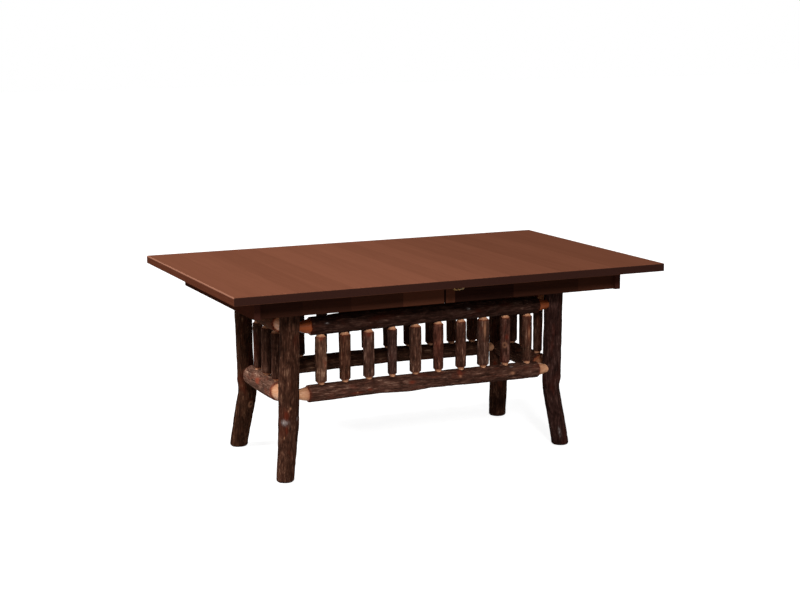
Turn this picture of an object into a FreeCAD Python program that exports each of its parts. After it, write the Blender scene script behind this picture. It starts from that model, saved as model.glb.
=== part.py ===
import FreeCAD, Part
import math
import os

# A rustic hickory dining table: a stained top in two halves that slides open over a fixed base of
# bark-on logs. Millimetres. X runs along the table, -Y is the front, Z is up, and the origin is on the
# floor under the middle of the top.

# Top
TABLE_LENGTH = 1829.0
TABLE_WIDTH = 1118.0
TABLE_HEIGHT = 787.0
TOP_THICKNESS = 32.0
TOP_EDGE_ROUND = 5.0
UNDER_EDGE_ROUND = 3.0
CORNER_ROUND = 4.0
SEAM_GAP = 0.4
HALF_TRAVEL = 305.0

# Aprons
APRON_HEIGHT = 84.5
APRON_THICKNESS = 25.0
END_OVERHANG = 122.5
SIDE_OVERHANG = 132.0
SIDE_APRON_SETBACK = 15.0
APRON_SPLIT_GAP = 8.0
APRON_EDGE_ROUND = 4.0

# Legs
LEG_INSET_X = 330.5
LEG_INSET_Y = 312.0
LEG_DIAMETER = 76.0
LEG_SPLAY = 32.0
FOOT_ROUND = 11.0

# Rails
LONG_RAIL_DIAMETER = 71.0
END_RAIL_DIAMETER = 69.0
UPPER_RAIL_DROP = 94.0
RAIL_CROOK = 5.0
RAIL_TENON_DIAMETER = 37.0
NECK_LENGTH = 1.5
LONG_BARK_STOP = 90.0
END_BARK_STOP = 104.0
BARK_EDGE_ROUND = 7.0
LONG_TENON_REACH = 12.0
TENON_WALL = 2.0

# Spindles
SPINDLE_DIAMETER = 41.5
SPINDLE_TENON_DIAMETER = 25.4
SPINDLE_TAPER = 10.0
SPINDLE_TENON_DEPTH = 24.0
SPINDLE_COUNT = 10

# Slides under the top
CLEAT_WIDTH = 100.0
CLEAT_THICKNESS = 25.0
CLEAT_MARGIN = 35.0
SLIDE_HEIGHT = 38.0
SLIDE_WIDTH = 24.0
SLIDE_PLAY = 2.0
SLIDE_SIDE_GAP = 0.4
SLIDE_END_GAP = 17.0
MOVING_SLIDE_START = 10.0
TONGUE_HEIGHT = 10.0
TONGUE_DEPTH = 8.0
TONGUE_PLAY = 0.3

# Rack and pinion
GEAR_MODULE = 2.0
PINION_TEETH = 16
ADDENDUM_SHARE = 0.8
DEDENDUM_SHARE = 1.3
GEAR_BACKLASH = 0.5
PRESSURE_ANGLE_DEG = 20.0
PINION_HEIGHT = 14.0
RACK_HEIGHT = 16.0
RACK_BACK = 12.0
RACK_LIFT = 12.0
RACK_TAIL = 250.0
RACK_END_SPARE = 35.0
BRIDGE_WIDTH = 90.0
BRIDGE_THICKNESS = 18.0
PINION_BOLT_DIAMETER = 10.0
PINION_BOLT_HEAD = 17.0
PINION_BOLT_HEAD_HEIGHT = 5.0
PINION_NUT_HEIGHT = 8.0
RUNNING_CLEARANCE = 0.05
PINION_FACE_GAP = 0.3

# Catches at the seam
CATCH_INSET = 37.0
CATCH_PIVOT_X = 18.0
CATCH_REACH = 32.0
CATCH_PLATE_THICKNESS = 2.0
CATCH_PLATE_LENGTH = 26.0
CATCH_PLATE_WIDTH = 40.0
LEVER_THICKNESS = 3.5
LEVER_DROP = 6.0
LEVER_WIDTH = 14.0
LEVER_EYE = 17.0
LEVER_BEAK = 4.0
LEVER_TAB = 9.0
CATCH_POST_DIAMETER = 6.0
CATCH_HEAD_DIAMETER = 11.0
CATCH_HEAD_HEIGHT = 3.0
CATCH_PLAY = 0.4
CATCH_SWING_DEG = 40.0

# Fasteners and fits
SCREW_DIAMETER = 4.5
SCREW_HEAD = 9.0
SCREW_HEAD_HEIGHT = 3.0
SCREW_BITE = 18.0
SLIDE_COUNTERBORE = 14.0
APRON_COUNTERBORE = 45.0
LAG_DIAMETER = 8.0
LAG_HEAD = 16.0
LAG_HEAD_HEIGHT = 6.0
LAG_LENGTH = 60.0
PLATE_SCREW_DIAMETER = 3.0
PLATE_SCREW_HEAD = 5.5
PLATE_SCREW_HEAD_HEIGHT = 1.2
PLATE_SCREW_BITE = 12.0
SCREW_CLEARANCE = 0.1
TENON_CLEARANCE = 0.2
SEAM_PIN_DIAMETER = 8.0
SEAM_PIN_DEPTH = 20.0
SEAM_PIN_CLEARANCE = 0.08
OVERRUN = 5.0
PICK_TOLERANCE = 0.4

# Shapes of the natural logs, chosen by hand
# Each leg: height share, outward offset share along X and along Y (of the splay), radius share
LEG_SHARES = {
    "front_left_leg": (
        (1.00, 0.00, 0.00, 1.02), (0.75, 0.15, 0.15, 1.03), (0.54, 0.40, 0.40, 1.06),
        (0.41, 0.48, 0.48, 1.07), (0.31, 0.58, 0.58, 1.08), (0.25, 0.72, 0.72, 1.02),
        (0.14, 1.05, 1.05, 0.97), (0.05, 1.35, 1.35, 0.93)),
    "front_right_leg": (
        (1.00, -0.02, -0.10, 1.02), (0.75, -0.02, -0.12, 1.01), (0.58, -0.07, -0.16, 1.00),
        (0.41, -0.10, -0.22, 1.01), (0.36, -0.19, -0.22, 0.92), (0.28, 0.03, 0.00, 0.94),
        (0.15, 0.42, 0.38, 0.94), (0.05, 0.69, 0.66, 0.94)),
    "back_left_leg": (
        (1.00, 0.58, 0.10, 1.03), (0.72, 0.47, 0.12, 0.93), (0.58, 0.41, 0.14, 0.89),
        (0.43, 0.26, 0.16, 0.95), (0.35, 0.08, 0.12, 1.01), (0.27, 0.33, 0.38, 1.06),
        (0.16, 0.70, 0.72, 1.02), (0.05, 1.03, 1.02, 0.97)),
    "back_right_leg": (
        (1.00, 0.00, 0.00, 1.00), (0.75, 0.06, 0.05, 1.00), (0.55, 0.12, 0.10, 0.98),
        (0.42, 0.14, 0.10, 0.97), (0.33, 0.26, 0.14, 1.00), (0.22, 0.44, 0.34, 1.03),
        (0.12, 0.52, 0.62, 1.02), (0.05, 0.55, 0.78, 0.97)),
}
# Each rail: length share, crook share sideways and upwards, radius share
RAIL_SHARES = {
    "front_upper_rail": (
        (0.0, 0.0, -0.46, 1.02), (0.07, 0.1, -0.15, 1.06), (0.15, 0.2, 0.4, 1.12), (0.3, 0.4, 0.75, 1.12),
        (0.5, 0.1, 1.2, 1.04), (0.66, -0.3, 1.35, 1.02), (0.86, -0.2, 1.2, 1.01), (1.0, 0.0, 0.3, 0.93)),
    "front_lower_rail": (
        (0.0, 0.0, -0.6, 0.98), (0.12, 0.1, -0.3, 0.96), (0.3, -0.2, 0.3, 0.93), (0.42, -0.3, -0.5, 1.0),
        (0.52, 0.2, 0.2, 0.95), (0.7, 0.4, -0.3, 0.97), (0.88, 0.2, -0.5, 0.97), (1.0, 0.0, -0.8, 0.95)),
    "back_upper_rail": (
        (0.0, 0.0, 0.0, 0.97), (0.2, 0.3, -0.2, 1.0), (0.45, 0.5, -0.3, 0.98), (0.7, -0.1, 0.2, 1.01),
        (1.0, 0.0, 0.0, 0.96)),
    "back_lower_rail": (
        (0.0, 0.0, -0.46, 1.04), (0.2, -0.2, -0.4, 1.03), (0.4, 0.2, 0.3, 0.96), (0.6, 0.4, 0.5, 0.94),
        (0.8, 0.1, -0.6, 0.93), (1.0, 0.0, -1.2, 0.92)),
    "left_upper_rail": (
        (0.0, 0.0, -0.4, 1.06), (0.4, 0.3, -0.4, 1.11), (0.7, 0.1, -0.2, 1.08), (1.0, 0.0, -0.2, 1.05)),
    "left_lower_rail": (
        (0.0, 0.0, 0.0, 1.16), (0.35, 0.2, -0.2, 1.20), (0.7, 0.4, 0.2, 1.19), (1.0, 0.0, 0.4, 1.16)),
    "right_upper_rail": (
        (0.0, 0.0, 0.0, 0.96), (0.5, -0.4, 0.1, 1.01), (1.0, 0.0, 0.0, 0.98)),
    "right_lower_rail": (
        (0.0, 0.0, 0.0, 1.08), (0.3, 0.2, 0.2, 1.15), (0.7, -0.3, 0.0, 1.18), (1.0, 0.0, 0.0, 1.14)),
}
# Heights of the lower rails, as shares of the legs' height
LOWER_RAIL_HEIGHT_SHARE = 0.478
LEFT_LOWER_RAIL_HEIGHT_SHARE = 0.4565
RIGHT_LOWER_RAIL_HEIGHT_SHARE = 0.4725
# Where the bark stops at each rail's two ends, as shares of the usual place
BARK_STOP_SHARES = {
    "front_upper_rail": (0.94, 0.955), "front_lower_rail": (0.82, 0.925),
    "back_upper_rail": (0.90, 0.95), "back_lower_rail": (0.85, 0.92),
    "left_upper_rail": (1.05, 0.95), "left_lower_rail": (1.32, 0.49),
    "right_upper_rail": (1.0, 0.9), "right_lower_rail": (1.05, 0.49),
}
# Radius shares at the foot, the middle and the head of each spindle's bark
SPINDLE_SHARES = (
    (1.11, 1.15, 1.10), (1.07, 1.12, 1.13), (1.12, 1.08, 1.10), (0.90, 0.93, 1.00), (1.14, 1.18, 1.16),
    (1.00, 1.04, 1.03), (1.05, 1.07, 1.03), (1.18, 1.25, 1.20), (0.97, 1.03, 1.00), (0.93, 1.03, 1.01))
# Places of the outermost spindles in a long row, and of the three at each end, as shares of leg spreads
SPINDLE_ROW_SHARE = 0.783
LEFT_END_PLACE_SHARES = (-0.395, 0.066, 0.489)
RIGHT_END_PLACE_SHARES = (-0.467, -0.009, 0.436)
# Place of the fixed slides, as a share of the leg spread across the table
SLIDE_PLACE_SHARE = 0.607
# Places of screws and pins along the pieces that they hold
SLIDE_SCREW_SHARES = (0.08, 0.5, 0.92)
APRON_SCREW_SHARES = (0.12, 0.5, 0.88)
RACK_SCREW_SHARES = (0.15, 0.85)
SEAM_PIN_SHARES = (-0.38, -0.14, 0.14, 0.38)
PEEL_BULGE_SHARE = 0.62

# Sizes that follow
X_AXIS = FreeCAD.Vector(1, 0, 0)
Y_AXIS = FreeCAD.Vector(0, 1, 0)
Z_AXIS = FreeCAD.Vector(0, 0, 1)
ORIGIN = FreeCAD.Vector(0, 0, 0)
HALF_TURN_DEG = 180.0
LEG_RADIUS = LEG_DIAMETER / 2
TOP_UNDERSIDE = TABLE_HEIGHT - TOP_THICKNESS
APRON_BOTTOM = TOP_UNDERSIDE - APRON_HEIGHT
CLEAT_TOP = TOP_UNDERSIDE - SLIDE_HEIGHT - SLIDE_PLAY
LEG_TOP = CLEAT_TOP - CLEAT_THICKNESS
LEG_SPREAD_X = TABLE_LENGTH / 2 - LEG_INSET_X
LEG_SPREAD_Y = TABLE_WIDTH / 2 - LEG_INSET_Y
UPPER_RAIL_HEIGHT = LEG_TOP - UPPER_RAIL_DROP
LOWER_RAIL_HEIGHT = LEG_TOP * LOWER_RAIL_HEIGHT_SHARE
LEFT_LOWER_RAIL_HEIGHT = LEG_TOP * LEFT_LOWER_RAIL_HEIGHT_SHARE
RIGHT_LOWER_RAIL_HEIGHT = LEG_TOP * RIGHT_LOWER_RAIL_HEIGHT_SHARE
SLIDE_PLACE_Y = LEG_SPREAD_Y * SLIDE_PLACE_SHARE
APRON_END_X = TABLE_LENGTH / 2 - END_OVERHANG
APRON_SIDE_Y = TABLE_WIDTH / 2 - SIDE_OVERHANG
CLEAT_LENGTH = 2 * (LEG_SPREAD_Y + LEG_RADIUS + CLEAT_MARGIN)
MOVING_SLIDE_END = APRON_END_X - APRON_THICKNESS - SLIDE_END_GAP
FIXED_SLIDE_END = MOVING_SLIDE_END - MOVING_SLIDE_START
SPINDLE_PITCH = 2 * LEG_SPREAD_X * SPINDLE_ROW_SHARE / (SPINDLE_COUNT - 1)
CATCH_PLACE_Y = TABLE_WIDTH / 2 - CATCH_INSET
TENON_RADIUS = RAIL_TENON_DIAMETER / 2
PITCH_RADIUS = GEAR_MODULE * PINION_TEETH / 2


def box(x0, y0, z0, x1, y1, z1):
    corner = FreeCAD.Vector(min(x0, x1), min(y0, y1), min(z0, z1))
    return Part.makeBox(abs(x1 - x0), abs(y1 - y0), abs(z1 - z0), corner)


def rod(radius, start, direction, length):
    return Part.makeCylinder(radius, length, start, direction)


def fused(shapes):
    """One solid from shapes that touch or overlap."""
    return shapes[0].fuse(shapes[1:]).removeSplitter().Solids[0]


def carved(shape, tools):
    """A log with its holes cut one after the other, which is much faster than all at once."""
    for tool in tools:
        shape = shape.cut(tool)
    return shape


def rounded(shape, radius, keep_edge):
    edges = [edge for edge in shape.Edges if keep_edge(edge)]
    return shape.makeFillet(radius, edges)


def save(node, solids):
    shape = solids[0] if len(solids) == 1 else Part.makeCompound(solids)
    count = len(shape.Solids)
    if count != len(solids) or not shape.isValid():
        raise ValueError("%s has %d solids, valid: %s" % (node, count, shape.isValid()))
    shape.exportStep("parts/" + node + ".step")
    print(node, count, round(shape.Volume / 1000), "cm3")


# Logs

def loft_log(stations):
    """A log through round sections: (centre, direction, radius) at each station, straight between them."""
    rings = [Part.Wire(Part.makeCircle(radius, centre, direction)) for centre, direction, radius in stations]
    return Part.makeLoft(rings, True, True)


def shape_at(shares, place):
    """A log's shares at a place between two of its stations, which are straight between them."""
    ordered = sorted(shares)
    for low, high in zip(ordered, ordered[1:]):
        if low[0] <= place <= high[0]:
            part = (place - low[0]) / (high[0] - low[0])
            return [a + (b - a) * part for a, b in zip(low, high)]
    return ordered[0] if place < ordered[0][0] else ordered[-1]


def turned(points, arcs, axis_start, axis):
    """Turn an outline about a log's axis.

    points are (distance along, radius); arcs maps the index of a point to the middle point of the arc
    that leads to the next one.
    """
    side = Y_AXIS if abs(axis.z) > 0 or abs(axis.x) > 0 else X_AXIS

    def place(point):
        return axis_start + axis * point[0] + side * point[1]

    edges = []
    for index in range(len(points) - 1):
        start, end = place(points[index]), place(points[index + 1])
        if index in arcs:
            edges.append(Part.Arc(start, place(arcs[index]), end).toShape())
        else:
            edges.append(Part.LineSegment(start, end).toShape())
    edges.append(Part.LineSegment(place(points[-1]), place(points[0])).toShape())
    face = Part.Face(Part.Wire(edges))
    return face.revolve(axis_start, axis, 2 * HALF_TURN_DEG)


def peeled_end(bark_end, inward, radius, neck_length, reach):
    """The peeled, tapered end of a rail, from the end of its bark out to the end of its tenon.

    bark_end is where the bark stops, inward points back along the rail, neck_length is where the taper
    has come down to the tenon, and reach is the tenon's end, both measured from bark_end.
    """
    outward = inward * -1
    rim = radius - BARK_EDGE_ROUND
    drop = rim - TENON_RADIUS
    run = neck_length - BARK_EDGE_ROUND
    corner_share = math.sqrt(0.5)
    points = [(0, 0), (0, radius), (BARK_EDGE_ROUND, rim), (neck_length, TENON_RADIUS),
              (reach, TENON_RADIUS), (reach, 0)]
    arcs = {1: (BARK_EDGE_ROUND * corner_share, rim + BARK_EDGE_ROUND * corner_share),
            2: (BARK_EDGE_ROUND + run / 2, TENON_RADIUS + drop * PEEL_BULGE_SHARE)}
    return turned(points, arcs, bark_end, outward)


def is_long(node):
    return node.startswith(("front", "back"))


def rail_radius(node):
    return (LONG_RAIL_DIAMETER if is_long(node) else END_RAIL_DIAMETER) / 2


def bark_ends(node):
    """How far the bark reaches from a rail's middle, towards its first and its second leg."""
    leg_place = LEG_SPREAD_X if is_long(node) else LEG_SPREAD_Y
    stop = LONG_BARK_STOP if is_long(node) else END_BARK_STOP
    return [leg_place - stop * share for share in BARK_STOP_SHARES[node]]


def rail_surface(node, along, side):
    """Height of a rail's surface over its axis (side 1) or under it (-1), along from its middle."""
    start, end = bark_ends(node)
    _, _, up, size = shape_at(RAIL_SHARES[node], (along + start) / (start + end))
    return up * RAIL_CROOK + side * rail_radius(node) * size


def rail_legs(node):
    """The legs at a rail's two ends."""
    if is_long(node):
        row = node.split("_")[0]
        return row + "_left_leg", row + "_right_leg"
    end = node.split("_")[0]
    return "front_" + end + "_leg", "back_" + end + "_leg"


def neck_places(node, height):
    """How far from a rail's middle its two tapers have come down to the tenon, just short of the legs."""
    leg_place = LEG_SPREAD_X if is_long(node) else LEG_SPREAD_Y
    places = []
    for leg in rail_legs(node):
        _, out_x, out_y, size = shape_at(LEG_SHARES[leg], height / LEG_TOP)
        out = out_x if is_long(node) else out_y
        places.append(leg_place + out * LEG_SPLAY - LEG_RADIUS * size - NECK_LENGTH)
    return places


def make_rail(node, centre, axis, reach):
    """A bark-on rail between two legs, with a peeled tenon at each end that stops at reach."""
    shares = RAIL_SHARES[node]
    radius = rail_radius(node)
    start, end = bark_ends(node)
    first_neck, last_neck = neck_places(node, centre.z)
    sideways = Z_AXIS.cross(axis)
    stations = []
    for along, side, up, size in shares:
        point = centre + axis * (-start + (start + end) * along)
        point = point + sideways * (side * RAIL_CROOK) + Z_AXIS * (up * RAIL_CROOK)
        stations.append((point, axis, radius * size))
    body = loft_log(stations)
    first = peeled_end(centre - axis * start, axis, radius * shares[0][3], first_neck - start, reach - start)
    last = peeled_end(centre + axis * end, axis * -1, radius * shares[-1][3], last_neck - end, reach - end)
    return fused([body, first, last])


def tenon_socket(centre, axis, sign, reach):
    """The hole in a leg for one end of a rail."""
    mouth = reach - LEG_DIAMETER * 2
    depth = reach - mouth + TENON_CLEARANCE
    return rod(TENON_RADIUS + TENON_CLEARANCE, centre + axis * (sign * mouth), axis * sign, depth)


def make_leg(node, sign_x, sign_y, sockets):
    stations = []
    for height, out_x, out_y, size in LEG_SHARES[node]:
        centre = FreeCAD.Vector(sign_x * (LEG_SPREAD_X + out_x * LEG_SPLAY),
                                sign_y * (LEG_SPREAD_Y + out_y * LEG_SPLAY), height * LEG_TOP)
        stations.append((centre, Z_AXIS, LEG_RADIUS * size))
    low, next_low = stations[-1], stations[-2]
    fall = (low[0].z - FOOT_ROUND) / (next_low[0].z - low[0].z)
    foot = low[0] + (low[0] - next_low[0]) * fall
    foot_radius = low[2]
    stations.append((foot, Z_AXIS, foot_radius))
    floor_point = FreeCAD.Vector(foot.x, foot.y, 0)
    corner_share = 1 - math.sqrt(0.5)
    points = [(0, 0), (0, foot_radius - FOOT_ROUND), (FOOT_ROUND, foot_radius), (FOOT_ROUND, 0)]
    arcs = {1: (FOOT_ROUND * corner_share, foot_radius - FOOT_ROUND * corner_share)}
    leg = fused([loft_log(stations), turned(points, arcs, floor_point, Z_AXIS)])
    return carved(leg, sockets)


def spindle_ends(side_name, along):
    """Heights where a spindle's tenons end, and where its tapers start just clear of the two rails."""
    lower, upper = side_name + "_lower_rail", side_name + "_upper_rail"
    low_face = RAILS[lower][0].z + rail_surface(lower, along, 1) + NECK_LENGTH
    high_face = RAILS[upper][0].z + rail_surface(upper, along, -1) - NECK_LENGTH
    return low_face - SPINDLE_TENON_DEPTH, low_face, high_face, high_face + SPINDLE_TENON_DEPTH


def make_spindle(place, ends, shares):
    """A short bark-on stick with a peeled, tapered end let into the rail below and the rail above."""
    low_end, low_face, high_face, high_end = ends
    tenon = SPINDLE_TENON_DIAMETER / 2
    low, middle, high = [SPINDLE_DIAMETER / 2 * share for share in shares]
    low_bark = low_face + SPINDLE_TAPER - low_end
    high_bark = high_face - SPINDLE_TAPER - low_end
    half = (low_bark + high_bark) / 2
    length = high_end - low_end
    points = [(0, 0), (0, tenon), (low_face - low_end, tenon), (low_bark, low), (high_bark, high),
              (high_face - low_end, tenon), (length, tenon), (length, 0)]
    bulge = PEEL_BULGE_SHARE
    arcs = {2: (low_bark - SPINDLE_TAPER / 2, tenon + (low - tenon) * bulge), 3: (half, middle),
            4: (high_bark + SPINDLE_TAPER / 2, tenon + (high - tenon) * bulge)}
    start = FreeCAD.Vector(place[0], place[1], low_end)
    return turned(points, arcs, start, Z_AXIS)


def spindle_socket(place, ends):
    low_end, _, _, high_end = ends
    start = FreeCAD.Vector(place[0], place[1], low_end - TENON_CLEARANCE)
    radius = SPINDLE_TENON_DIAMETER / 2 + TENON_CLEARANCE
    return rod(radius, start, Z_AXIS, high_end - low_end + 2 * TENON_CLEARANCE)


# Fasteners

def wood_screw(head_point, direction, length):
    head = rod(SCREW_HEAD / 2, head_point, direction, SCREW_HEAD_HEIGHT)
    shank = rod(SCREW_DIAMETER / 2, head_point, direction, SCREW_HEAD_HEIGHT + length)
    return fused([head, shank])


def wood_screw_hole(head_point, direction, length, mouth):
    """The screw's hole, with a counterbore that opens mouth beyond the head."""
    bore = rod(SCREW_HEAD / 2 + SCREW_CLEARANCE, head_point - direction * mouth, direction,
               mouth + SCREW_HEAD_HEIGHT)
    shank = rod(SCREW_DIAMETER / 2 + SCREW_CLEARANCE, head_point, direction,
                SCREW_HEAD_HEIGHT + length + SCREW_CLEARANCE)
    return fused([bore, shank])


# Top and aprons

def half_solid(sign):
    return box(sign * SEAM_GAP / 2, -TABLE_WIDTH / 2, TOP_UNDERSIDE, sign * TABLE_LENGTH / 2,
               TABLE_WIDTH / 2, TABLE_HEIGHT)


def seam_pin_places():
    return [share * TABLE_WIDTH for share in SEAM_PIN_SHARES]


def slide_screw_places(sign):
    """Head points of the screws that hold one half's moving slides up to the top."""
    y = SLIDE_PLACE_Y + SLIDE_WIDTH + SLIDE_SIDE_GAP + SLIDE_WIDTH / 2
    z = TOP_UNDERSIDE - SLIDE_HEIGHT + SLIDE_COUNTERBORE
    run = MOVING_SLIDE_END - MOVING_SLIDE_START
    return [FreeCAD.Vector(sign * (MOVING_SLIDE_START + run * share), side * y, z)
            for side in (-1, 1) for share in SLIDE_SCREW_SHARES]


def rack_screw_places(sign):
    y = -sign * (PITCH_RADIUS + DEDENDUM_SHARE * GEAR_MODULE + RACK_BACK / 2)
    z = TOP_UNDERSIDE - RACK_LIFT - RACK_HEIGHT + SCREW_HEAD_HEIGHT
    run = RACK_TAIL - MOVING_SLIDE_START
    return [FreeCAD.Vector(sign * (MOVING_SLIDE_START + run * share), y, z) for share in RACK_SCREW_SHARES]


def apron_screw_places(sign):
    """Head points of the screws that hold one half's aprons up to the top."""
    z = APRON_BOTTOM + APRON_COUNTERBORE
    side_y = APRON_SIDE_Y - SIDE_APRON_SETBACK - APRON_THICKNESS / 2
    inner_x = APRON_END_X - APRON_THICKNESS
    places = []
    for share in APRON_SCREW_SHARES:
        along = APRON_SPLIT_GAP / 2 + (inner_x - APRON_SPLIT_GAP / 2) * share
        places += [FreeCAD.Vector(sign * along, side * side_y, z) for side in (-1, 1)]
        across = APRON_SIDE_Y * (2 * share - 1)
        places.append(FreeCAD.Vector(sign * (APRON_END_X - APRON_THICKNESS / 2), across, z))
    return places


def slide_screw_length():
    return SLIDE_HEIGHT - SLIDE_COUNTERBORE - SCREW_HEAD_HEIGHT + SCREW_BITE


def apron_screw_length():
    return APRON_HEIGHT - APRON_COUNTERBORE - SCREW_HEAD_HEIGHT + SCREW_BITE


def rack_screw_length():
    return RACK_HEIGHT + RACK_LIFT - 2 * SCREW_HEAD_HEIGHT + SCREW_BITE


def half_screw_holes(sign):
    holes = [wood_screw_hole(point, Z_AXIS, slide_screw_length(), SLIDE_COUNTERBORE + OVERRUN)
             for point in slide_screw_places(sign)]
    holes += [wood_screw_hole(point, Z_AXIS, apron_screw_length(), APRON_COUNTERBORE + OVERRUN)
              for point in apron_screw_places(sign)]
    holes += [wood_screw_hole(point, Z_AXIS, rack_screw_length(), SCREW_HEAD_HEIGHT + OVERRUN)
              for point in rack_screw_places(sign)]
    return holes


def make_top_half(sign):
    slab = half_solid(sign)
    end_x = TABLE_LENGTH / 2
    side_y = TABLE_WIDTH / 2

    def at_rim(point):
        return abs(abs(point.x) - end_x) < OVERRUN or abs(abs(point.y) - side_y) < OVERRUN

    def rim_edge(edge, height):
        middle = edge.CenterOfMass
        flat = edge.BoundBox.ZLength < PICK_TOLERANCE
        return flat and abs(middle.z - height) < OVERRUN and at_rim(middle)

    def corner_edge(edge):
        middle = edge.CenterOfMass
        return edge.BoundBox.ZLength > PICK_TOLERANCE and abs(middle.x) > end_x / 2

    slab = rounded(slab, CORNER_ROUND, corner_edge)
    slab = rounded(slab, TOP_EDGE_ROUND, lambda edge: rim_edge(edge, TABLE_HEIGHT))
    slab = rounded(slab, UNDER_EDGE_ROUND, lambda edge: rim_edge(edge, TOP_UNDERSIDE))
    holes = half_screw_holes(sign) + plate_screw_holes(sign)
    for y in seam_pin_places():
        start = FreeCAD.Vector(0, y, TABLE_HEIGHT - TOP_THICKNESS / 2)
        depth = SEAM_PIN_DEPTH + SEAM_PIN_CLEARANCE
        holes.append(rod(SEAM_PIN_DIAMETER / 2 + SEAM_PIN_CLEARANCE, start, X_AXIS * sign, depth))
    return slab.cut(holes)


def make_end_apron(sign):
    board = box(sign * APRON_END_X, -APRON_SIDE_Y, APRON_BOTTOM, sign * (APRON_END_X - APRON_THICKNESS),
                APRON_SIDE_Y, TOP_UNDERSIDE)

    def outer_edge(edge):
        middle = edge.CenterOfMass
        low = middle.z < TOP_UNDERSIDE - PICK_TOLERANCE and edge.BoundBox.ZLength < PICK_TOLERANCE
        upright = edge.BoundBox.ZLength > APRON_HEIGHT / 2
        return (low or upright) and abs(middle.x) > APRON_END_X - APRON_THICKNESS / 2 - PICK_TOLERANCE

    board = rounded(board, APRON_EDGE_ROUND, outer_edge)
    return board.cut(half_screw_holes(sign))


def make_side_apron(sign, side):
    outer_y = APRON_SIDE_Y - SIDE_APRON_SETBACK
    board = box(sign * APRON_SPLIT_GAP / 2, side * outer_y, APRON_BOTTOM,
                sign * (APRON_END_X - APRON_THICKNESS), side * (outer_y - APRON_THICKNESS), TOP_UNDERSIDE)

    def outer_edge(edge):
        middle = edge.CenterOfMass
        low = abs(middle.z - APRON_BOTTOM) < PICK_TOLERANCE and edge.BoundBox.XLength > APRON_HEIGHT
        return low and abs(abs(middle.y) - outer_y) < PICK_TOLERANCE

    board = rounded(board, APRON_EDGE_ROUND, outer_edge)
    return board.cut(half_screw_holes(sign))


# Slides, cleats and bridge

def lag_places():
    return [FreeCAD.Vector(x * LEG_SPREAD_X, y * LEG_SPREAD_Y, CLEAT_TOP)
            for x in (-1, 1) for y in (-1, 1)]


def fixed_screw_places(sign):
    """Head points of the screws that hold the fixed slides down to one cleat."""
    y = SLIDE_PLACE_Y + (SLIDE_WIDTH - TONGUE_DEPTH) / 2
    z = CLEAT_TOP + SLIDE_HEIGHT - SLIDE_COUNTERBORE
    return [FreeCAD.Vector(sign * LEG_SPREAD_X + step * CLEAT_WIDTH / 4, side * y, z)
            for side in (-1, 1) for step in (-1, 1)]


def fixed_screw_length():
    return SLIDE_HEIGHT - SLIDE_COUNTERBORE - SCREW_HEAD_HEIGHT + SCREW_BITE


def fixed_screw_hole(point):
    return wood_screw_hole(point, Z_AXIS * -1, fixed_screw_length(), SLIDE_COUNTERBORE + OVERRUN)


def bridge_screw_places():
    y = SLIDE_PLACE_Y + (SLIDE_WIDTH - TONGUE_DEPTH) / 2
    z = CLEAT_TOP - BRIDGE_THICKNESS + SCREW_HEAD_HEIGHT
    return [FreeCAD.Vector(step * BRIDGE_WIDTH / 4, side * y, z) for side in (-1, 1) for step in (-1, 1)]


def bridge_screw_length():
    return BRIDGE_THICKNESS - 2 * SCREW_HEAD_HEIGHT + SCREW_BITE


def bridge_screw_hole(point):
    return wood_screw_hole(point, Z_AXIS, bridge_screw_length(), SCREW_HEAD_HEIGHT + OVERRUN)


def lag_bottom():
    return CLEAT_TOP - LAG_HEAD_HEIGHT - LAG_LENGTH


def make_lag(point, clearance):
    head = rod(LAG_HEAD / 2 + clearance, point - Z_AXIS * LAG_HEAD_HEIGHT, Z_AXIS, LAG_HEAD_HEIGHT)
    bottom = FreeCAD.Vector(point.x, point.y, lag_bottom() - clearance)
    shank = rod(LAG_DIAMETER / 2 + clearance, bottom, Z_AXIS, LAG_LENGTH + LAG_HEAD_HEIGHT + clearance)
    return fused([head, shank])


def make_cleat(sign):
    board = box(sign * LEG_SPREAD_X - CLEAT_WIDTH / 2, -CLEAT_LENGTH / 2, LEG_TOP,
                sign * LEG_SPREAD_X + CLEAT_WIDTH / 2, CLEAT_LENGTH / 2, CLEAT_TOP)
    cuts = [make_lag(point, SCREW_CLEARANCE) for point in lag_places()]
    cuts += [fixed_screw_hole(point) for point in fixed_screw_places(sign)]
    return board.cut(cuts)


def make_fixed_slide(side):
    inner = SLIDE_PLACE_Y
    outer = SLIDE_PLACE_Y + SLIDE_WIDTH
    bar = box(-FIXED_SLIDE_END, side * inner, CLEAT_TOP, FIXED_SLIDE_END, side * outer,
              CLEAT_TOP + SLIDE_HEIGHT)
    middle = CLEAT_TOP + SLIDE_HEIGHT / 2 + SLIDE_PLAY / 2
    half = TONGUE_HEIGHT / 2 + TONGUE_PLAY
    end = FIXED_SLIDE_END + OVERRUN
    groove = box(-end, side * (outer - TONGUE_DEPTH), middle - half, end, side * (outer + OVERRUN),
                 middle + half)
    cuts = [groove] + [fixed_screw_hole(point) for sign in (-1, 1) for point in fixed_screw_places(sign)]
    cuts += [bridge_screw_hole(point) for point in bridge_screw_places()]
    return bar.cut(cuts)


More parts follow.
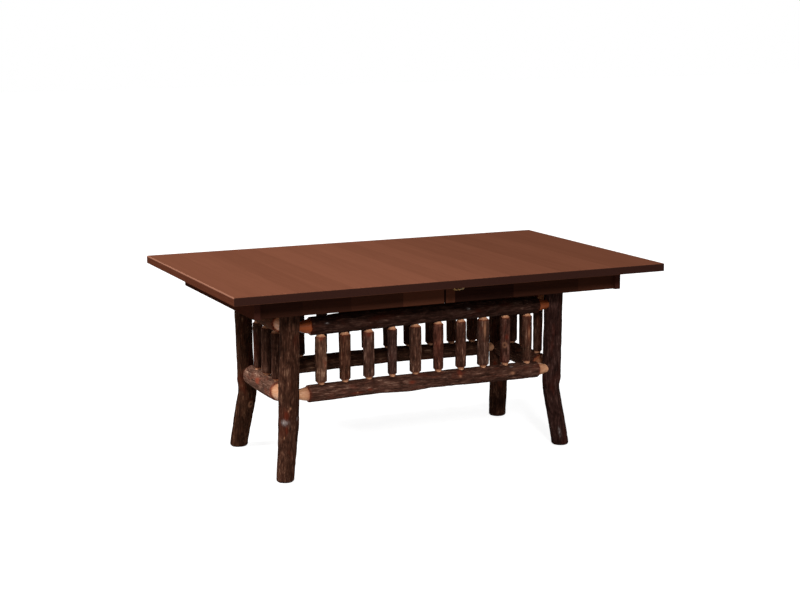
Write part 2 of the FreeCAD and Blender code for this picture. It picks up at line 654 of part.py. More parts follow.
def make_moving_slide(sign, side):
    inner = SLIDE_PLACE_Y + SLIDE_WIDTH + SLIDE_SIDE_GAP
    bar = box(sign * MOVING_SLIDE_START, side * inner, TOP_UNDERSIDE - SLIDE_HEIGHT,
              sign * MOVING_SLIDE_END, side * (inner + SLIDE_WIDTH), TOP_UNDERSIDE)
    middle = CLEAT_TOP + SLIDE_HEIGHT / 2 + SLIDE_PLAY / 2
    tongue = box(sign * MOVING_SLIDE_START, side * (inner - TONGUE_DEPTH), middle - TONGUE_HEIGHT / 2,
                 sign * MOVING_SLIDE_END, side * inner, middle + TONGUE_HEIGHT / 2)
    holes = [wood_screw_hole(point, Z_AXIS, slide_screw_length(), SLIDE_COUNTERBORE + OVERRUN)
             for point in slide_screw_places(sign)]
    return fused([bar, tongue]).cut(holes)


def make_bridge():
    outer = SLIDE_PLACE_Y + SLIDE_WIDTH
    board = box(-BRIDGE_WIDTH / 2, -outer, CLEAT_TOP - BRIDGE_THICKNESS, BRIDGE_WIDTH / 2, outer, CLEAT_TOP)
    cuts = [bridge_screw_hole(point) for point in bridge_screw_places()]
    start = FreeCAD.Vector(0, 0, CLEAT_TOP - BRIDGE_THICKNESS - OVERRUN)
    cuts.append(rod(PINION_BOLT_DIAMETER / 2 + SCREW_CLEARANCE, start, Z_AXIS,
                    BRIDGE_THICKNESS + 2 * OVERRUN))
    return board.cut(cuts)


# Rack and pinion

def rack_low():
    return TOP_UNDERSIDE - RACK_LIFT - RACK_HEIGHT


def pinion_low():
    return rack_low() + (RACK_HEIGHT - PINION_HEIGHT) / 2


def involute_point(base_radius, radius):
    """How far round the involute has turned where it reaches a radius."""
    pressure = math.acos(min(1.0, base_radius / radius))
    return math.tan(pressure) - pressure


def make_pinion():
    """The pinion: teeth with involute sides, a hub that stands on the bridge, and a bore."""
    pressure = math.radians(PRESSURE_ANGLE_DEG)
    base = PITCH_RADIUS * math.cos(pressure)
    tip = PITCH_RADIUS + ADDENDUM_SHARE * GEAR_MODULE
    root = PITCH_RADIUS - DEDENDUM_SHARE * GEAR_MODULE
    tooth_turn = 2 * math.pi / PINION_TEETH
    half_tooth = (math.pi * GEAR_MODULE / 2 - GEAR_BACKLASH / 2) / (2 * PITCH_RADIUS)
    flank_steps = 5
    low_z = pinion_low()

    def at(radius, turn):
        return FreeCAD.Vector(radius * math.cos(turn), radius * math.sin(turn), low_z)

    edges = []
    for tooth in range(PINION_TEETH):
        # A tooth space faces each rack, so the two racks' middle teeth go in there
        middle = tooth_turn * (tooth + 0.5) + math.pi / 2
        widest = half_tooth + involute_point(base, PITCH_RADIUS)
        radii = [base + (tip - base) * step / flank_steps for step in range(flank_steps + 1)]
        spans = [widest - involute_point(base, radius) for radius in radii]
        rising = [at(radius, middle - span) for radius, span in zip(radii, spans)]
        falling = [at(radius, middle + span) for radius, span in zip(reversed(radii), reversed(spans))]
        points = [at(root, middle - spans[0])] + rising + falling + [at(root, middle + spans[0])]
        points.append(at(root, middle + tooth_turn - spans[0]))
        edges += [Part.LineSegment(a, b).toShape() for a, b in zip(points, points[1:]) if (b - a).Length > 0]
    gear = Part.Face(Part.Wire(edges)).extrude(Z_AXIS * PINION_HEIGHT)
    hub_low = FreeCAD.Vector(0, 0, CLEAT_TOP + PINION_FACE_GAP)
    hub = rod(root - GEAR_MODULE, hub_low, Z_AXIS, low_z - hub_low.z)
    bore = rod(PINION_BOLT_DIAMETER / 2 + RUNNING_CLEARANCE, hub_low - Z_AXIS * OVERRUN, Z_AXIS,
               PINION_HEIGHT + low_z - hub_low.z + 2 * OVERRUN)
    return fused([gear, hub]).cut(bore)


def rack_teeth_outline(length_before, length_after, root_y):
    """A toothed edge along X with one tooth on the pinion's axis, as (x, y) points."""
    pitch = math.pi * GEAR_MODULE
    pressure = math.tan(math.radians(PRESSURE_ANGLE_DEG))
    half = (pitch / 2 - GEAR_BACKLASH / 2) / 2
    tip_half = half - ADDENDUM_SHARE * GEAR_MODULE * pressure
    root_half = half + DEDENDUM_SHARE * GEAR_MODULE * pressure
    tip_y = PITCH_RADIUS - ADDENDUM_SHARE * GEAR_MODULE
    first = -math.floor(length_before / pitch) + 1
    last = math.floor(length_after / pitch) - 1
    points = []
    for tooth in range(first, last + 1):
        middle = tooth * pitch
        points += [(middle - root_half, root_y), (middle - tip_half, tip_y),
                   (middle + tip_half, tip_y), (middle + root_half, root_y)]
    return points


def make_rack(sign):
    """One half's rack: a toothed bar past the pinion, and a block that lifts it to the top's underside.

    It is drawn for the left half and turned half round for the right one.
    """
    root_y = PITCH_RADIUS + DEDENDUM_SHARE * GEAR_MODULE
    back_y = root_y + RACK_BACK
    far_end = HALF_TRAVEL + RACK_END_SPARE
    outline = [(-RACK_TAIL, back_y), (-RACK_TAIL, root_y)]
    outline += rack_teeth_outline(RACK_END_SPARE, far_end, root_y)
    outline += [(far_end, root_y), (far_end, back_y)]
    corners = [FreeCAD.Vector(x, y, rack_low()) for x, y in outline]
    bar = Part.Face(Part.makePolygon(corners + corners[:1])).extrude(Z_AXIS * RACK_HEIGHT)
    block = box(-RACK_TAIL, root_y, rack_low() + RACK_HEIGHT, -MOVING_SLIDE_START, back_y, TOP_UNDERSIDE)
    rack = fused([bar, block])
    if sign > 0:
        rack.rotate(ORIGIN, Z_AXIS, HALF_TURN_DEG)
    holes = [wood_screw_hole(point, Z_AXIS, rack_screw_length(), SCREW_HEAD_HEIGHT + OVERRUN)
             for point in rack_screw_places(sign)]
    return rack.cut(holes)


def make_pinion_bolt():
    head_low = pinion_low() + PINION_HEIGHT + PINION_FACE_GAP
    radius = PINION_BOLT_DIAMETER / 2
    nut_low = CLEAT_TOP - BRIDGE_THICKNESS - PINION_NUT_HEIGHT
    shank = rod(radius, FreeCAD.Vector(0, 0, nut_low), Z_AXIS, head_low - nut_low)
    head = rod(PINION_BOLT_HEAD / 2, FreeCAD.Vector(0, 0, head_low), Z_AXIS, PINION_BOLT_HEAD_HEIGHT)
    nut = hexagon(PINION_BOLT_HEAD / 2, nut_low, PINION_NUT_HEIGHT)
    nut = nut.cut(rod(radius + SCREW_CLEARANCE, FreeCAD.Vector(0, 0, nut_low - OVERRUN), Z_AXIS,
                      PINION_NUT_HEIGHT + 2 * OVERRUN))
    return [fused([shank, head]), nut]


def hexagon(radius, low_z, height):
    sides = 6
    corners = [FreeCAD.Vector(radius * math.cos(2 * math.pi * side / sides),
                              radius * math.sin(2 * math.pi * side / sides), low_z)
               for side in range(sides)]
    return Part.Face(Part.makePolygon(corners + corners[:1])).extrude(Z_AXIS * height)


# Catches

def plate_low():
    return TOP_UNDERSIDE - CATCH_PLATE_THICKNESS


def lever_low():
    return TOP_UNDERSIDE - LEVER_DROP - LEVER_THICKNESS


def plate_x(sign):
    return CATCH_PIVOT_X if sign > 0 else CATCH_PIVOT_X - CATCH_REACH


def plate_screw_places(sign):
    offset = CATCH_PLATE_WIDTH / 2 - PLATE_SCREW_HEAD
    return [FreeCAD.Vector(plate_x(sign), side * (CATCH_PLACE_Y + step * offset),
                           plate_low() - PLATE_SCREW_HEAD_HEIGHT)
            for side in (-1, 1) for step in (-1, 1)]


def plate_screw_holes(sign):
    radius = PLATE_SCREW_DIAMETER / 2 + SCREW_CLEARANCE
    length = PLATE_SCREW_HEAD_HEIGHT + CATCH_PLATE_THICKNESS + PLATE_SCREW_BITE + SCREW_CLEARANCE
    return [rod(radius, point, Z_AXIS, length) for point in plate_screw_places(sign)]


def make_catch_plates(sign):
    """The plates of one half's two catches, each with its headed post, and their screws."""
    x = plate_x(sign)
    solids = []
    for side in (-1, 1):
        y = side * CATCH_PLACE_Y
        half_length = CATCH_PLATE_LENGTH / 2
        plate = box(x - half_length, y - CATCH_PLATE_WIDTH / 2, plate_low(), x + half_length,
                    y + CATCH_PLATE_WIDTH / 2, TOP_UNDERSIDE)
        head_low = lever_low() - PINION_FACE_GAP - CATCH_HEAD_HEIGHT
        post = rod(CATCH_POST_DIAMETER / 2, FreeCAD.Vector(x, y, head_low), Z_AXIS, plate_low() - head_low)
        head = rod(CATCH_HEAD_DIAMETER / 2, FreeCAD.Vector(x, y, head_low), Z_AXIS, CATCH_HEAD_HEIGHT)
        head = rounded(head, CATCH_HEAD_HEIGHT / 2,
                       lambda edge: edge.BoundBox.ZMax < head_low + PICK_TOLERANCE)
        solids.append(fused([plate, post, head]).cut(plate_screw_holes(sign)))
    for point in plate_screw_places(sign):
        head = rod(PLATE_SCREW_HEAD / 2, point, Z_AXIS, PLATE_SCREW_HEAD_HEIGHT)
        shank = rod(PLATE_SCREW_DIAMETER / 2, point, Z_AXIS,
                    PLATE_SCREW_HEAD_HEIGHT + CATCH_PLATE_THICKNESS + PLATE_SCREW_BITE)
        solids.append(fused([head, shank]))
    return solids


def make_lever(side):
    """A catch's lever, swung out towards the table's edge as far as it goes.

    It is drawn hooked round the keeper's post, pointing to -X from its pivot, with a slot that runs round
    the pivot and opens on the side that the post comes in from, and then swung clear of the post.
    """
    pivot = FreeCAD.Vector(CATCH_PIVOT_X, -CATCH_PLACE_Y, lever_low())
    slot_half = CATCH_POST_DIAMETER / 2 + CATCH_PLAY
    outer = CATCH_REACH + slot_half + LEVER_BEAK
    eye = rod(LEVER_EYE / 2, pivot, Z_AXIS, LEVER_THICKNESS)
    arm = box(pivot.x, pivot.y - LEVER_WIDTH / 2, pivot.z, pivot.x - outer, pivot.y + LEVER_WIDTH / 2,
              pivot.z + LEVER_THICKNESS)
    arm = arm.common(rod(outer, pivot, Z_AXIS, LEVER_THICKNESS))
    tab = box(pivot.x - outer - LEVER_TAB, pivot.y, pivot.z, pivot.x - outer + LEVER_BEAK / 2,
              pivot.y + LEVER_WIDTH / 2, pivot.z + LEVER_THICKNESS)
    low = pivot - Z_AXIS * OVERRUN
    tall = LEVER_THICKNESS + 2 * OVERRUN
    ring = rod(CATCH_REACH + slot_half, low, Z_AXIS, tall).cut(rod(CATCH_REACH - slot_half, low, Z_AXIS, tall))
    mouth = box(pivot.x, pivot.y, low.z, pivot.x - outer - LEVER_EYE, pivot.y + LEVER_EYE, low.z + tall)
    slot = ring.common(mouth)
    seat = rod(slot_half, low - X_AXIS * CATCH_REACH, Z_AXIS, tall)
    bore = rod(CATCH_POST_DIAMETER / 2 + RUNNING_CLEARANCE, low, Z_AXIS, tall)
    lever = fused([eye, arm, tab]).cut([slot, seat, bore])
    lever.rotate(pivot, Z_AXIS, CATCH_SWING_DEG)
    if side > 0:
        lever = lever.mirror(ORIGIN, Y_AXIS)
    return lever


# Base

LONG_REACH = LEG_SPREAD_X + LONG_TENON_REACH
END_REACH = LEG_SPREAD_Y - TENON_RADIUS - TENON_WALL


def long_rail(side, height):
    return FreeCAD.Vector(0, side * LEG_SPREAD_Y, height), X_AXIS, LONG_REACH


def end_rail(side, height):
    return FreeCAD.Vector(side * LEG_SPREAD_X, 0, height), Y_AXIS, END_REACH


# Each rail's middle, its direction, and how far from the middle its tenons end
RAILS = {
    "front_upper_rail": long_rail(-1, UPPER_RAIL_HEIGHT),
    "front_lower_rail": long_rail(-1, LOWER_RAIL_HEIGHT),
    "back_upper_rail": long_rail(1, UPPER_RAIL_HEIGHT),
    "back_lower_rail": long_rail(1, LOWER_RAIL_HEIGHT),
    "left_upper_rail": end_rail(-1, UPPER_RAIL_HEIGHT),
    "left_lower_rail": end_rail(-1, LEFT_LOWER_RAIL_HEIGHT),
    "right_upper_rail": end_rail(1, UPPER_RAIL_HEIGHT),
    "right_lower_rail": end_rail(1, RIGHT_LOWER_RAIL_HEIGHT),
}

LEGS = {"front_left_leg": (-1, -1), "front_right_leg": (1, -1), "back_left_leg": (-1, 1),
        "back_right_leg": (1, 1)}


def row_spindles(side):
    """Places and heights of the spindles along one long side: -1 front, 1 back."""
    name = "front" if side < 0 else "back"
    places = [SPINDLE_PITCH * (index - (SPINDLE_COUNT - 1) / 2) for index in range(SPINDLE_COUNT)]
    return [((x, side * LEG_SPREAD_Y), spindle_ends(name, x)) for x in places]


def end_spindles(sign):
    """Places and heights of the spindles at one end: -1 left, 1 right."""
    name = "left" if sign < 0 else "right"
    shares = LEFT_END_PLACE_SHARES if sign < 0 else RIGHT_END_PLACE_SHARES
    places = [share * LEG_SPREAD_Y for share in shares]
    return [((sign * LEG_SPREAD_X, y), spindle_ends(name, y)) for y in places]


def spindle_shares(index):
    return SPINDLE_SHARES[index % len(SPINDLE_SHARES)]


def build_rails():
    spindles = {"front": row_spindles(-1), "back": row_spindles(1), "left": end_spindles(-1),
                "right": end_spindles(1)}
    for node, (centre, axis, reach) in RAILS.items():
        sockets = [spindle_socket(place, ends) for place, ends in spindles[node.split("_")[0]]]
        save(node, [carved(make_rail(node, centre, axis, reach), sockets)])


def build_legs():
    for node, (sign_x, sign_y) in LEGS.items():
        top_centre = FreeCAD.Vector(sign_x * LEG_SPREAD_X, sign_y * LEG_SPREAD_Y, CLEAT_TOP)
        sockets = [make_lag(top_centre, SCREW_CLEARANCE)]
        for centre, axis, reach in RAILS.values():
            sign = sign_x if axis.x else sign_y
            across = centre.y * sign_y if axis.x else centre.x * sign_x
            if across > 0:
                sockets.append(tenon_socket(centre, axis, sign, reach))
        save(node, [make_leg(node, sign_x, sign_y, sockets)])


def build_spindles():
    for side, name in ((-1, "front"), (1, "back")):
        for index, (place, ends) in enumerate(row_spindles(side)):
            shares = spindle_shares(index if side < 0 else SPINDLE_COUNT + 3 - index)
            save("%s_spindle_%02d" % (name, index + 1), [make_spindle(place, ends, shares)])
    for sign, name in ((-1, "left"), (1, "right")):
        solids = [make_spindle(place, ends, spindle_shares(index + sign + 2))
                  for index, (place, ends) in enumerate(end_spindles(sign))]
        save(name + "_end_spindles", solids)


def build_slide_frame():
    save("left_cleat", [make_cleat(-1)])
    save("right_cleat", [make_cleat(1)])
    save("fixed_slides", [make_fixed_slide(-1), make_fixed_slide(1)])
    save("pinion_bridge", [make_bridge()])
    save("pinion", [make_pinion()])
    save("pinion_bolt", make_pinion_bolt())
    screws = [make_lag(point, 0) for point in lag_places()]
    screws += [wood_screw(point, Z_AXIS * -1, fixed_screw_length())
               for sign in (-1, 1) for point in fixed_screw_places(sign)]
    screws += [wood_screw(point, Z_AXIS, bridge_screw_length()) for point in bridge_screw_places()]
    save("base_screws", screws)


def build_half(sign):
    name = "left" if sign < 0 else "right"
    save(name + "_top", [make_top_half(sign)])
    save(name + "_end_apron", [make_end_apron(sign)])
    save(name + "_front_apron", [make_side_apron(sign, -1)])
    save(name + "_back_apron", [make_side_apron(sign, 1)])
    save(name + "_slides", [make_moving_slide(sign, -1), make_moving_slide(sign, 1)])
    save(name + "_rack", [make_rack(sign)])
    screws = [wood_screw(point, Z_AXIS, slide_screw_length()) for point in slide_screw_places(sign)]
    screws += [wood_screw(point, Z_AXIS, apron_screw_length()) for point in apron_screw_places(sign)]
    screws += [wood_screw(point, Z_AXIS, rack_screw_length()) for point in rack_screw_places(sign)]
    if sign < 0:
        for y in seam_pin_places():
            start = FreeCAD.Vector(-SEAM_PIN_DEPTH, y, TABLE_HEIGHT - TOP_THICKNESS / 2)
            screws.append(rod(SEAM_PIN_DIAMETER / 2, start, X_AXIS, 2 * SEAM_PIN_DEPTH))
    save(name + "_fasteners", screws)


def build_catches():
    save("latch_keepers", make_catch_plates(-1))
    save("latch_plates", make_catch_plates(1))
    save("front_latch_lever", [make_lever(-1)])
    save("back_latch_lever", [make_lever(1)])


os.makedirs("parts", exist_ok=True)
build_rails()
build_legs()
build_spindles()
build_slide_frame()
build_half(-1)
build_half(1)
build_catches()
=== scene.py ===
# %% [markdown]
# # A rustic hickory table
# The table is a plank top in two halves over a fixed base of hickory logs that still have their bark.
# The joiner peels and tapers the end of each log with a drawknife, so pale wood shows wherever one log
# goes into another. This lesson dresses an engineering model of the table: the model gives every piece
# its place and size in metres, and the bark, the knife work, the stained grain and the metal are made
# here in Blender.
#
# The engineering model comes in first.

# %% Load the engineering model
import math

import bpy
import numpy as np
from mathutils import Matrix, Vector


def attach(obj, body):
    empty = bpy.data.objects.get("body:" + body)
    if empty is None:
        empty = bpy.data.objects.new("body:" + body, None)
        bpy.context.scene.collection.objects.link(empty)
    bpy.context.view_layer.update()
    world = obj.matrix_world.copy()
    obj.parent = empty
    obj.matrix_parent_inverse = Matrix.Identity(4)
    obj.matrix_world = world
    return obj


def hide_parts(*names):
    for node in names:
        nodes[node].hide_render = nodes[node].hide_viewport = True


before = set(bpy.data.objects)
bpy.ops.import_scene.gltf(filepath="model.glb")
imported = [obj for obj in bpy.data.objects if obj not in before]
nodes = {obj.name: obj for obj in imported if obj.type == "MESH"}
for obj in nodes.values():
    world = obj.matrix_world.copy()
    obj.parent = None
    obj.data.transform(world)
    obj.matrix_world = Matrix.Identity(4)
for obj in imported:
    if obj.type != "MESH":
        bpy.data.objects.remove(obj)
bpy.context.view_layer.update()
MM = 0.001
print("pieces in the model:", len(nodes))

# %% [markdown]
# ## Small helpers for finishes
# Every finish is a node network. Writing networks out by hand is long, so a few helpers keep the cells
# short. Colours are written as the 0 to 255 values that a screen shows, because those are easy to
# compare with a photograph, and the first helper turns them into the linear values that Blender wants.
# The second puts in a node and fills its inputs. All the others are built on it.

# %% Colours and nodes
BLACK, WHITE = (0, 0, 0, 1), (1, 1, 1, 1)


def colour(red, green, blue):
    """Screen values from 0 to 255 as linear colour."""
    def linear(value):
        value /= 255
        return value / 12.92 if value <= 0.04045 else ((value + 0.055) / 1.055) ** 2.4
    return (linear(red), linear(green), linear(blue), 1.0)


def put(tree, kind, inputs=None, **settings):
    """Add a node. An input's value may be a number, a colour or another node's output."""
    made = tree.nodes.new(kind)
    for name, value in settings.items():
        setattr(made, name, value)
    for name, value in (inputs or {}).items():
        if isinstance(value, bpy.types.NodeSocket):
            tree.links.new(value, made.inputs[name])
        else:
            made.inputs[name].default_value = value
    return made


print("a screen's middle grey is linear", round(colour(128, 128, 128)[0], 3))

# %% [markdown]
# Most finishes come down to four moves: a colour ramp, a soft step that picks out part of a pattern, a
# mix of two colours, and a sum of several patterns with a weight for each.

# %% Ramps, masks, mixes and sums
def ramp(tree, factor, stops, interpolation="LINEAR"):
    """A colour ramp through (place, colour) stops."""
    made = put(tree, "ShaderNodeValToRGB", {"Fac": factor})
    made.color_ramp.interpolation = interpolation
    elements = made.color_ramp.elements
    for index, (place, value) in enumerate(stops):
        stop = elements[index] if index < 2 else elements.new(place)
        stop.position = place
        stop.color = value
    return made.outputs["Color"]


def mask(tree, value, low, high, top=WHITE):
    """Black up to low, the top value from high on, and a soft step between."""
    return ramp(tree, value, [(low, BLACK), (high, top)])


def mix(tree, factor, first, second, blend="MIX"):
    """Mix two colours."""
    made = put(tree, "ShaderNodeMix", {0: factor, 6: first, 7: second}, data_type="RGBA", blend_type=blend)
    return made.outputs[2]


def math_node(tree, operation, first, second=0.0, clamp=False):
    """One step of arithmetic."""
    made = put(tree, "ShaderNodeMath", {0: first, 1: second}, operation=operation, use_clamp=clamp)
    return made.outputs[0]


def weighed(tree, *shares):
    """The sum of values, each times its weight."""
    total = 0.0
    for value, weight in shares:
        total = math_node(tree, "ADD", total, math_node(tree, "MULTIPLY", value, weight))
    return total


print("mixing helpers ready")

# %% [markdown]
# Wood is drawn out along its grain, and so is bark. Blender's noise has no direction of its own, so the
# place it reads is squeezed along one axis first.

# %% Patterns, and how a finish starts
def noise(tree, place, scale, detail, rough, twist=0.0):
    """Soft random values, the same in every direction."""
    made = put(tree, "ShaderNodeTexNoise", {"Vector": place, "Scale": scale, "Detail": detail,
                                            "Roughness": rough, "Distortion": twist})
    return made.outputs["Fac"]


def drawn_out(tree, place, along, stretch, *pattern):
    """Noise drawn out along x, y or z: the smaller the stretch, the longer the streaks."""
    scales = [stretch if axis == along else 1 for axis in "xyz"]
    squeezed = put(tree, "ShaderNodeMapping", {"Vector": place, "Scale": scales}).outputs["Vector"]
    return noise(tree, squeezed, *pattern)


def start_finish(name, roughness, metallic=0.0, shine=0.5):
    """A new finish with the plain shader, and the place on the object that its patterns read."""
    finish = bpy.data.materials.new(name)
    finish.use_nodes = True
    tree = finish.node_tree
    shader = tree.nodes["Principled BSDF"]
    shader.inputs["Roughness"].default_value = roughness
    shader.inputs["Metallic"].default_value = metallic
    shader.inputs["Specular IOR Level"].default_value = shine
    place = put(tree, "ShaderNodeTexCoord").outputs["Object"]
    return finish, tree, shader, place


def add_bump(tree, shader, height, strength, distance):
    """Let a height pattern tilt the light on the surface without moving it."""
    bump = put(tree, "ShaderNodeBump", {"Height": height, "Strength": strength, "Distance": distance})
    tree.links.new(bump.outputs["Normal"], shader.inputs["Normal"])


print("pattern helpers ready")

# %% [markdown]
# ## Hickory bark
# The bark of a young hickory is a net of long narrow ridges with dark furrows between them. Near to, the
# ridges are grey brown and fibrous, and here and there the red inner bark shows. It could be done with
# bump alone, but then a log's outline would stay as smooth as a pipe. So the ridges are real relief in
# the mesh, and the mesh carries a colour layer, bark, that the finish reads: red is how high a point
# stands, green is pale wood at a knot, blue is rubbed inner bark, and alpha falls where lichen grows.
#
# The finer patterns are noise, drawn out along the log's own Z. The place that they read is shifted by a
# random amount for each log, so that no two logs show the same piece of the pattern.

# %% Bark patterns
# How far a pattern is drawn out along the log, then its scale, detail, roughness and twist.
STREAK = (0.1, 210, 4, 0.62, 0.2)
FIBRE = (0.07, 560, 5, 0.7, 0.0)
FLECK = (0.22, 330, 3, 0.6, 0.3)
REDDISH = (0.4, 22, 3, 0.5, 0.4)

bark, tree, shader, place = start_finish("hickory_bark", 0.9, shine=0.02)
own = put(tree, "ShaderNodeObjectInfo").outputs["Random"]
shift = put(tree, "ShaderNodeCombineXYZ", {"X": math_node(tree, "MULTIPLY", own, 7.0),
                                           "Z": math_node(tree, "MULTIPLY", own, 3.0)}).outputs[0]
place = put(tree, "ShaderNodeVectorMath", {0: place, 1: shift}, operation="ADD").outputs[0]
patterns = [drawn_out(tree, place, "z", *pattern) for pattern in (STREAK, FIBRE, FLECK, REDDISH)]
streak, fibre, fleck, reddish = patterns
print("bark patterns:", len(patterns))

# %% [markdown]
# The colour follows the height: almost black in the furrows, grey brown on the ridges, with pale flecks
# where the fibres fray. The black of the furrows is partly the bark's own colour and partly painted shade.
# No two logs have bark of quite the same colour, so a second layer, tone, holds one tint for the whole log,
# and the bark's own colours are multiplied by it; on the back spindles that tint is darker as painted
# shade.
# Knots and lichen come after that, because they keep their own colour.

# %% Bark colours
# The darkest of these colours is partly painted shade in the furrows.
BARK_AND_FURROW_SHADE_COLOURS = [(0.54, colour(30, 16, 11)), (0.7, colour(50, 29, 21)), (0.84, colour(68, 42, 32)),
                (0.96, colour(92, 62, 49)), (1.0, colour(128, 96, 78))]
RIDGE_SHARE, STREAK_SHARE, FIBRE_SHARE = 0.3, 0.85, 0.4
FRAYED, FRAYED_SHARE = colour(124, 98, 82), 0.4
INNER_BARK = (colour(46, 18, 12), colour(112, 50, 33))
SOME_RED = (0.55, 0.55, 0.55, 1)
KNOT_WOOD = (colour(112, 66, 46), colour(184, 132, 100))
LICHEN = colour(150, 138, 134)

layer = put(tree, "ShaderNodeVertexColor", layer_name="bark")
parts = put(tree, "ShaderNodeSeparateColor", {"Color": layer.outputs["Color"]}).outputs
# The tone layer's tint; on the back spindles it is painted shade.
tint = put(tree, "ShaderNodeVertexColor", layer_name="tone").outputs["Color"]
height = weighed(tree, (parts["Red"], RIDGE_SHARE), (streak, STREAK_SHARE), (fibre, FIBRE_SHARE))
# Dark in the furrows: partly the bark's own colour, partly painted shade.
body = ramp(tree, height, BARK_AND_FURROW_SHADE_COLOURS)
body = mix(tree, math_node(tree, "MULTIPLY", mask(tree, fleck, 0.6, 0.7), FRAYED_SHARE), body, FRAYED)
red = math_node(tree, "ADD", mask(tree, reddish, 0.56, 0.72, SOME_RED), parts["Blue"], True)
body = mix(tree, red, body, mix(tree, streak, *INNER_BARK))
body = mix(tree, 1.0, body, tint, "MULTIPLY")
body = mix(tree, parts["Green"], body, mix(tree, fibre, *KNOT_WOOD))
grown = math_node(tree, "SUBTRACT", 1.0, layer.outputs["Alpha"])
body = mix(tree, math_node(tree, "MULTIPLY", grown, mask(tree, fleck, 0.4, 0.6)), body, LICHEN)
tree.links.new(body, shader.inputs["Base Color"])
add_bump(tree, shader, math_node(tree, "ADD", fibre, streak), 0.5, 1.4 * MM)
print("bark finish nodes:", len(tree.nodes))

# %% [markdown]
# ## Peeled wood
# Where the bark is cut away the wood is tan, and reddish next to the bark, where some of the inner bark
# is left. Its grain runs along the log, with fine dark lines. On a few logs the peeled ends are a deep
# amber, partly aged wood and partly painted shade under the top: the alpha of the tone layer falls there.
# Bark and wood could share one finish with a mask between them, but two are easier to read, and the line
# where the knife stopped is a sharp one anyway.

# %% The peeled finish
PEELED_COLOURS = [(0.3, colour(186, 126, 90)), (0.55, colour(220, 166, 128)), (0.75, colour(234, 192, 156))]
# The amber colour is partly aged wood and partly painted shade.
DARKER_WOOD, REDDER_WOOD, AMBER_AND_SHADE_WOOD = colour(190, 122, 84), colour(140, 72, 46), colour(130, 62, 28)

peeled, tree, shader, place = start_finish("peeled_hickory", 0.42, shine=0.1)
layer = put(tree, "ShaderNodeVertexColor", layer_name="bark")
parts = put(tree, "ShaderNodeSeparateColor", {"Color": layer.outputs["Color"]}).outputs
kept = put(tree, "ShaderNodeVertexColor", layer_name="tone").outputs["Alpha"]
grain = drawn_out(tree, place, "z", 0.05, 260, 5, 0.62)
broad = drawn_out(tree, place, "z", 0.2, 40, 3, 0.5)
wood = ramp(tree, grain, PEELED_COLOURS)
wood = mix(tree, math_node(tree, "MULTIPLY", broad, 0.5), wood, DARKER_WOOD)
wood = mix(tree, parts["Blue"], wood, REDDER_WOOD)
# The amber is partly aged wood and partly painted shade.
wood = mix(tree, math_node(tree, "SUBTRACT", 1.0, kept), wood, AMBER_AND_SHADE_WOOD)
tree.links.new(wood, shader.inputs["Base Color"])
add_bump(tree, shader, grain, 0.35, 0.8 * MM)
print("peeled finish nodes:", len(tree.nodes))

# %% [markdown]
# The sawn ends are darker than the peeled wood, and they show the growth rings. Circles could be cut into
# the flat face, but Blender's wave texture makes rings round the log's own axis with a single node, and
# lets them wobble as real ones do.

# %% The sawn finish
sawn, tree, shader, place = start_finish("sawn_hickory", 0.8, shine=0.1)
rings = put(tree, "ShaderNodeTexWave", {"Vector": place, "Scale": 120.0, "Distortion": 3.0, "Detail": 3.0,
                                        "Detail Scale": 1.2}, wave_type="RINGS", rings_direction="Z")
rings = rings.outputs["Fac"]
tree.links.new(ramp(tree, rings, [(0.2, colour(92, 62, 44)), (0.8, colour(140, 100, 72))]),
               shader.inputs["Base Color"])
add_bump(tree, shader, rings, 0.3, 0.6 * MM)
print("sawn finish nodes:", len(tree.nodes))

# %% [markdown]
# ## One recipe for every log
# Legs, rails and spindles differ only in their lines, so one recipe makes them all. A curve with a
# thickness would give a bent pipe in one step, but no ridges and no knife work. So a log is a stack of
# rings along its own axis, and each of their points can be moved. Tables give the centre and radius at a
# few places, and the rings between them follow softly. Near each tenon the bark stops in a ragged line,
# and the ring steps down to the cone that the knife leaves, with its flat facets. Knots are low mounds
# added on top.
#
# Random heights on a cylinder have to meet where the ring closes, so they come from a small grid that
# wraps round. Two such grids, drawn out along the log, give the furrows: a furrow runs where the heights
# pass through the middle value, which makes long lines that fork and join as real ones do.

# %% Random relief that wraps round a log
# How the furrows wander: cells round the log, their step against the furrows' own, and radians.
WANDER_CELLS, WANDER_STEP, WANDER = 7, 1.4, 0.8


def lattice(rng, angle, along, cells, step):
    """Smooth random heights from 0 to 1: cells round the log, one every step metres along it."""
    rows = int(np.ptp(along) / step) + 3
    grid = rng.random((rows, cells))
    across, down = angle / (2 * np.pi) * cells, (along - along.min()) / step
    column, row = np.floor(across).astype(int), np.floor(down).astype(int)
    across, down = across - column, down - row
    across, down = across * across * (3 - 2 * across), down * down * (3 - 2 * down)
    left, right = column % cells, (column + 1) % cells
    near = grid[row, left] * (1 - across) + grid[row, right] * across
    far = grid[row + 1, left] * (1 - across) + grid[row + 1, right] * across
    return near * (1 - down) + far * down


def furrows(rng, angle, along, cells, step, width):
    """1 on the ridges, falling to 0 in the furrows."""
    bend = angle + (lattice(rng, angle, along, WANDER_CELLS, step * WANDER_STEP) - 0.5) * WANDER
    return np.clip(np.abs(2 * lattice(rng, bend, along, cells, step) - 1) / width, 0, 1)


sample = furrows(np.random.default_rng(1), np.linspace(0, 6, 5), np.linspace(0, 1, 5), 12, 0.05, 0.4)
print("furrow sample:", np.round(sample, 2))

# %% [markdown]
# The bark has three sizes of relief: long furrows, shorter ones between them, and a fine grit. Broad
# lumps change the whole log's outline a little. A knot is (along, turn, height, width, rise, kind): a
# mound that lifts the bark and colours it pale, red or grey, or with a pale ring. Lengths are in
# millimetres and turns in degrees.

# %% Relief and knots
RIDGE_WIDTH, LEAST_RIDGES = 12 * MM, 9
LONG_FURROWS, SHORT_FURROWS = (55 * MM, 0.55), (24 * MM, 0.6)
GRIT_STEP, LUMP_STEP, LUMPS_ROUND = 7 * MM, 90 * MM, 5


